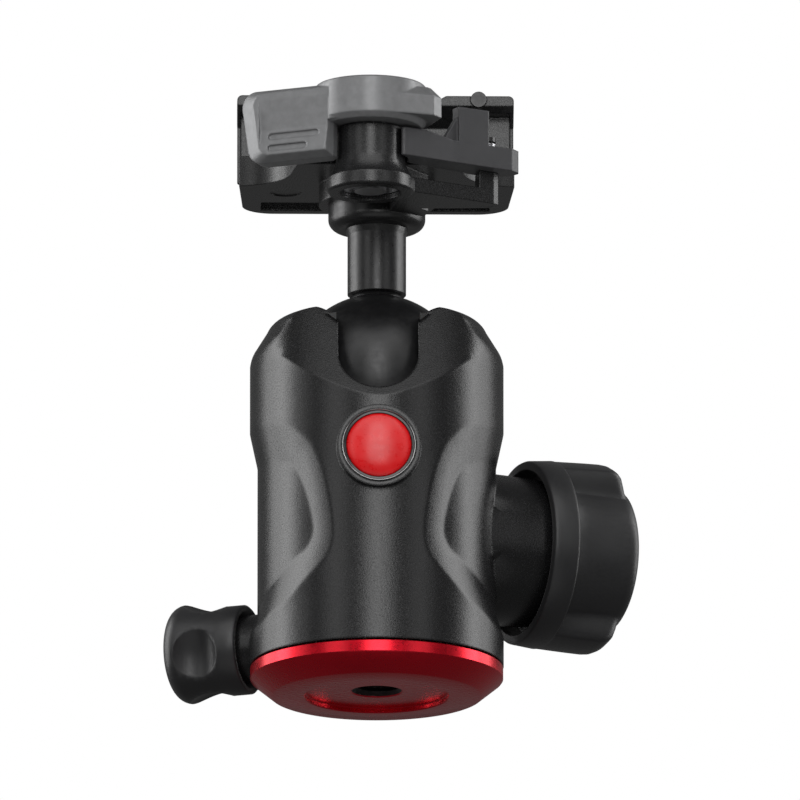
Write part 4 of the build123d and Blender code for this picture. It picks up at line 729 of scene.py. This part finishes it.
dress("lever", grey_paint())
dress("lever_pivot", zinc_steel)
dress("pivot_clip", spring_steel)
lever_coil = coiled("lever_torsion_spring", (-1.6, -24.0), 4.95, 0.9, 93.86, 97.4, 3.9)
placed(lever_coil, spring_steel, "head", "lever_spring")

# Safety catch: a dark grey moulding that blocks the lever, on its own steel pin and spring.
# Its skin has the knobs' texture, and the pin is black like the stem.

dress("safety_catch", soft_touch("catch_dark_plastic", (0.045, 0.045, 0.048), (0.36, 0.48), 0.0004))
dress("catch_pin", stem_coat)
catch_coil = coiled("catch_return_spring", (20.6, -13.6), 1.45, 0.5, 102.82, 104.28, 3.0)
placed(catch_coil, spring_steel, "head", "catch_spring")

# Trigger: the brass pin that the plate pushes down, with its coil spring and polymer plug,
# all in one bore of the receiver.

dress("trigger_pin", turned_brass)
dress("trigger_spring", spring_steel)
dress("trigger_plug", white_polymer)

# Studio: a pale table just under the base, seen only from above, in a room that is white to
# the camera and dim to the object, which ten soft boxes light from round about.

table_half, table_drop = 3.0, 0.0006
table = bpy.data.meshes.new("studio_table")
corner = np.array([(-1, -1), (1, -1), (1, 1), (-1, 1)]) * table_half
table.from_pydata(np.column_stack([corner, np.full(4, -table_drop)]).tolist(), [], [(0, 1, 2, 3)])
floor = bpy.data.objects.new("studio_table", table)
bpy.context.scene.collection.objects.link(floor)
table_paint, table_tree, table_surface = shader_tree("studio_table_white")
table_surface.inputs["Base Color"].default_value = (0.86, 0.86, 0.86, 1)
table_surface.inputs["Roughness"].default_value = 0.9
side = table_tree.nodes.new("ShaderNodeNewGeometry")
clear = table_tree.nodes.new("ShaderNodeBsdfTransparent")
either = table_tree.nodes.new("ShaderNodeMixShader")
table_tree.links.new(side.outputs["Backfacing"], either.inputs[0])
table_tree.links.new(table_surface.outputs["BSDF"], either.inputs[1])
table_tree.links.new(clear.outputs["BSDF"], either.inputs[2])
table_out = next(n for n in table_tree.nodes if n.type == "OUTPUT_MATERIAL")
table_tree.links.new(either.outputs["Shader"], table_out.inputs["Surface"])
table.materials.append(table_paint)
floor.visible_diffuse = False
floor.visible_glossy = False
floor.visible_transmission = False
floor.visible_shadow = False

room_glow, backdrop_glow = 0.11, 1.0
world = bpy.data.worlds.new("studio_room")
bpy.context.scene.world = world
world.use_nodes = True
room = world.node_tree
room.nodes.clear()
path = room.nodes.new("ShaderNodeLightPath")
pick = room.nodes.new("ShaderNodeMixShader")
room_out = room.nodes.new("ShaderNodeOutputWorld")
room.links.new(path.outputs["Is Camera Ray"], pick.inputs[0])
for place, strength in ((1, room_glow), (2, backdrop_glow)):
    glow = room.nodes.new("ShaderNodeBackground")
    glow.inputs["Color"].default_value = (1, 1, 1, 1)
    glow.inputs["Strength"].default_value = strength
    room.links.new(glow.outputs["Background"], pick.inputs[place])
room.links.new(pick.outputs["Shader"], room_out.inputs["Surface"])


def soft_box(name, at, aim, wide, tall, watts):
    """A rectangular lamp at a place, turned to face the aim."""
    lamp = bpy.data.lights.new(name, "AREA")
    lamp.shape = "RECTANGLE"
    lamp.size = wide
    lamp.size_y = tall
    lamp.energy = watts
    stand = bpy.data.objects.new(name, lamp)
    stand.location = at
    away = np.array(aim, float) - np.array(at, float)
    tilt = math.atan2(math.hypot(away[0], away[1]), -away[2])
    stand.rotation_euler = (tilt, 0, math.atan2(-away[0], away[1]))
    bpy.context.scene.collection.objects.link(stand)


middle = (0, 0, 0.06)
stand_off = 0.62
# Each soft box: name, degrees round from the front, degrees up, width, height and watts.
soft_boxes = [
    ("box_left_side", -95, 14, 0.2, 0.7, 2.1), ("box_left_back", -115, 14, 0.2, 0.7, 1.1),
    ("box_right_side", 95, 14, 0.2, 0.7, 1.9), ("box_right_back", 115, 14, 0.2, 0.7, 0.85),
    ("box_left_near", -75, 14, 0.2, 0.7, 0.3), ("box_front", 0, 14, 0.22, 0.5, 1.3),
    ("box_front_left", -38, 14, 0.22, 0.5, 0.4), ("box_front_right", 38, 14, 0.22, 0.5, 0.3),
    ("box_over", 0, 50, 0.7, 0.35, 1.15), ("box_under", 0, -48, 0.7, 0.4, 0.35)]
for name, round_by, up_by, wide, tall, watts in soft_boxes:
    turn, lift = math.radians(round_by), math.radians(up_by)
    spot = (stand_off * math.sin(turn) * math.cos(lift), -stand_off * math.cos(turn) * math.cos(lift),
            middle[2] + stand_off * math.sin(lift))
    soft_box(name, spot, middle, wide, tall, watts)

# Camera: a long lens in front of the notch and a little below the base, level side to side.
# It stands near enough for turned views to keep the object inside their clipping range.

below, turn = math.radians(13.7), math.radians(-1.0)
reach, seen_width, sensor = 6.0, 0.1514, 36
target = np.array((0.0044, 0.0, 0.0577))
back = np.array((math.sin(turn) * math.cos(below), -math.cos(turn) * math.cos(below), -math.sin(below)))
camera = bpy.data.cameras.new("studio_camera")
camera.sensor_width = sensor
camera.lens = sensor * reach / seen_width
camera.clip_start = 0.05
held = bpy.data.objects.new("studio_camera", camera)
held.location = target + back * reach
held.rotation_euler = (math.pi / 2 + below, 0, turn)
bpy.context.scene.collection.objects.link(held)
bpy.context.scene.camera = held

bpy.context.scene.view_settings.view_transform = "Standard"
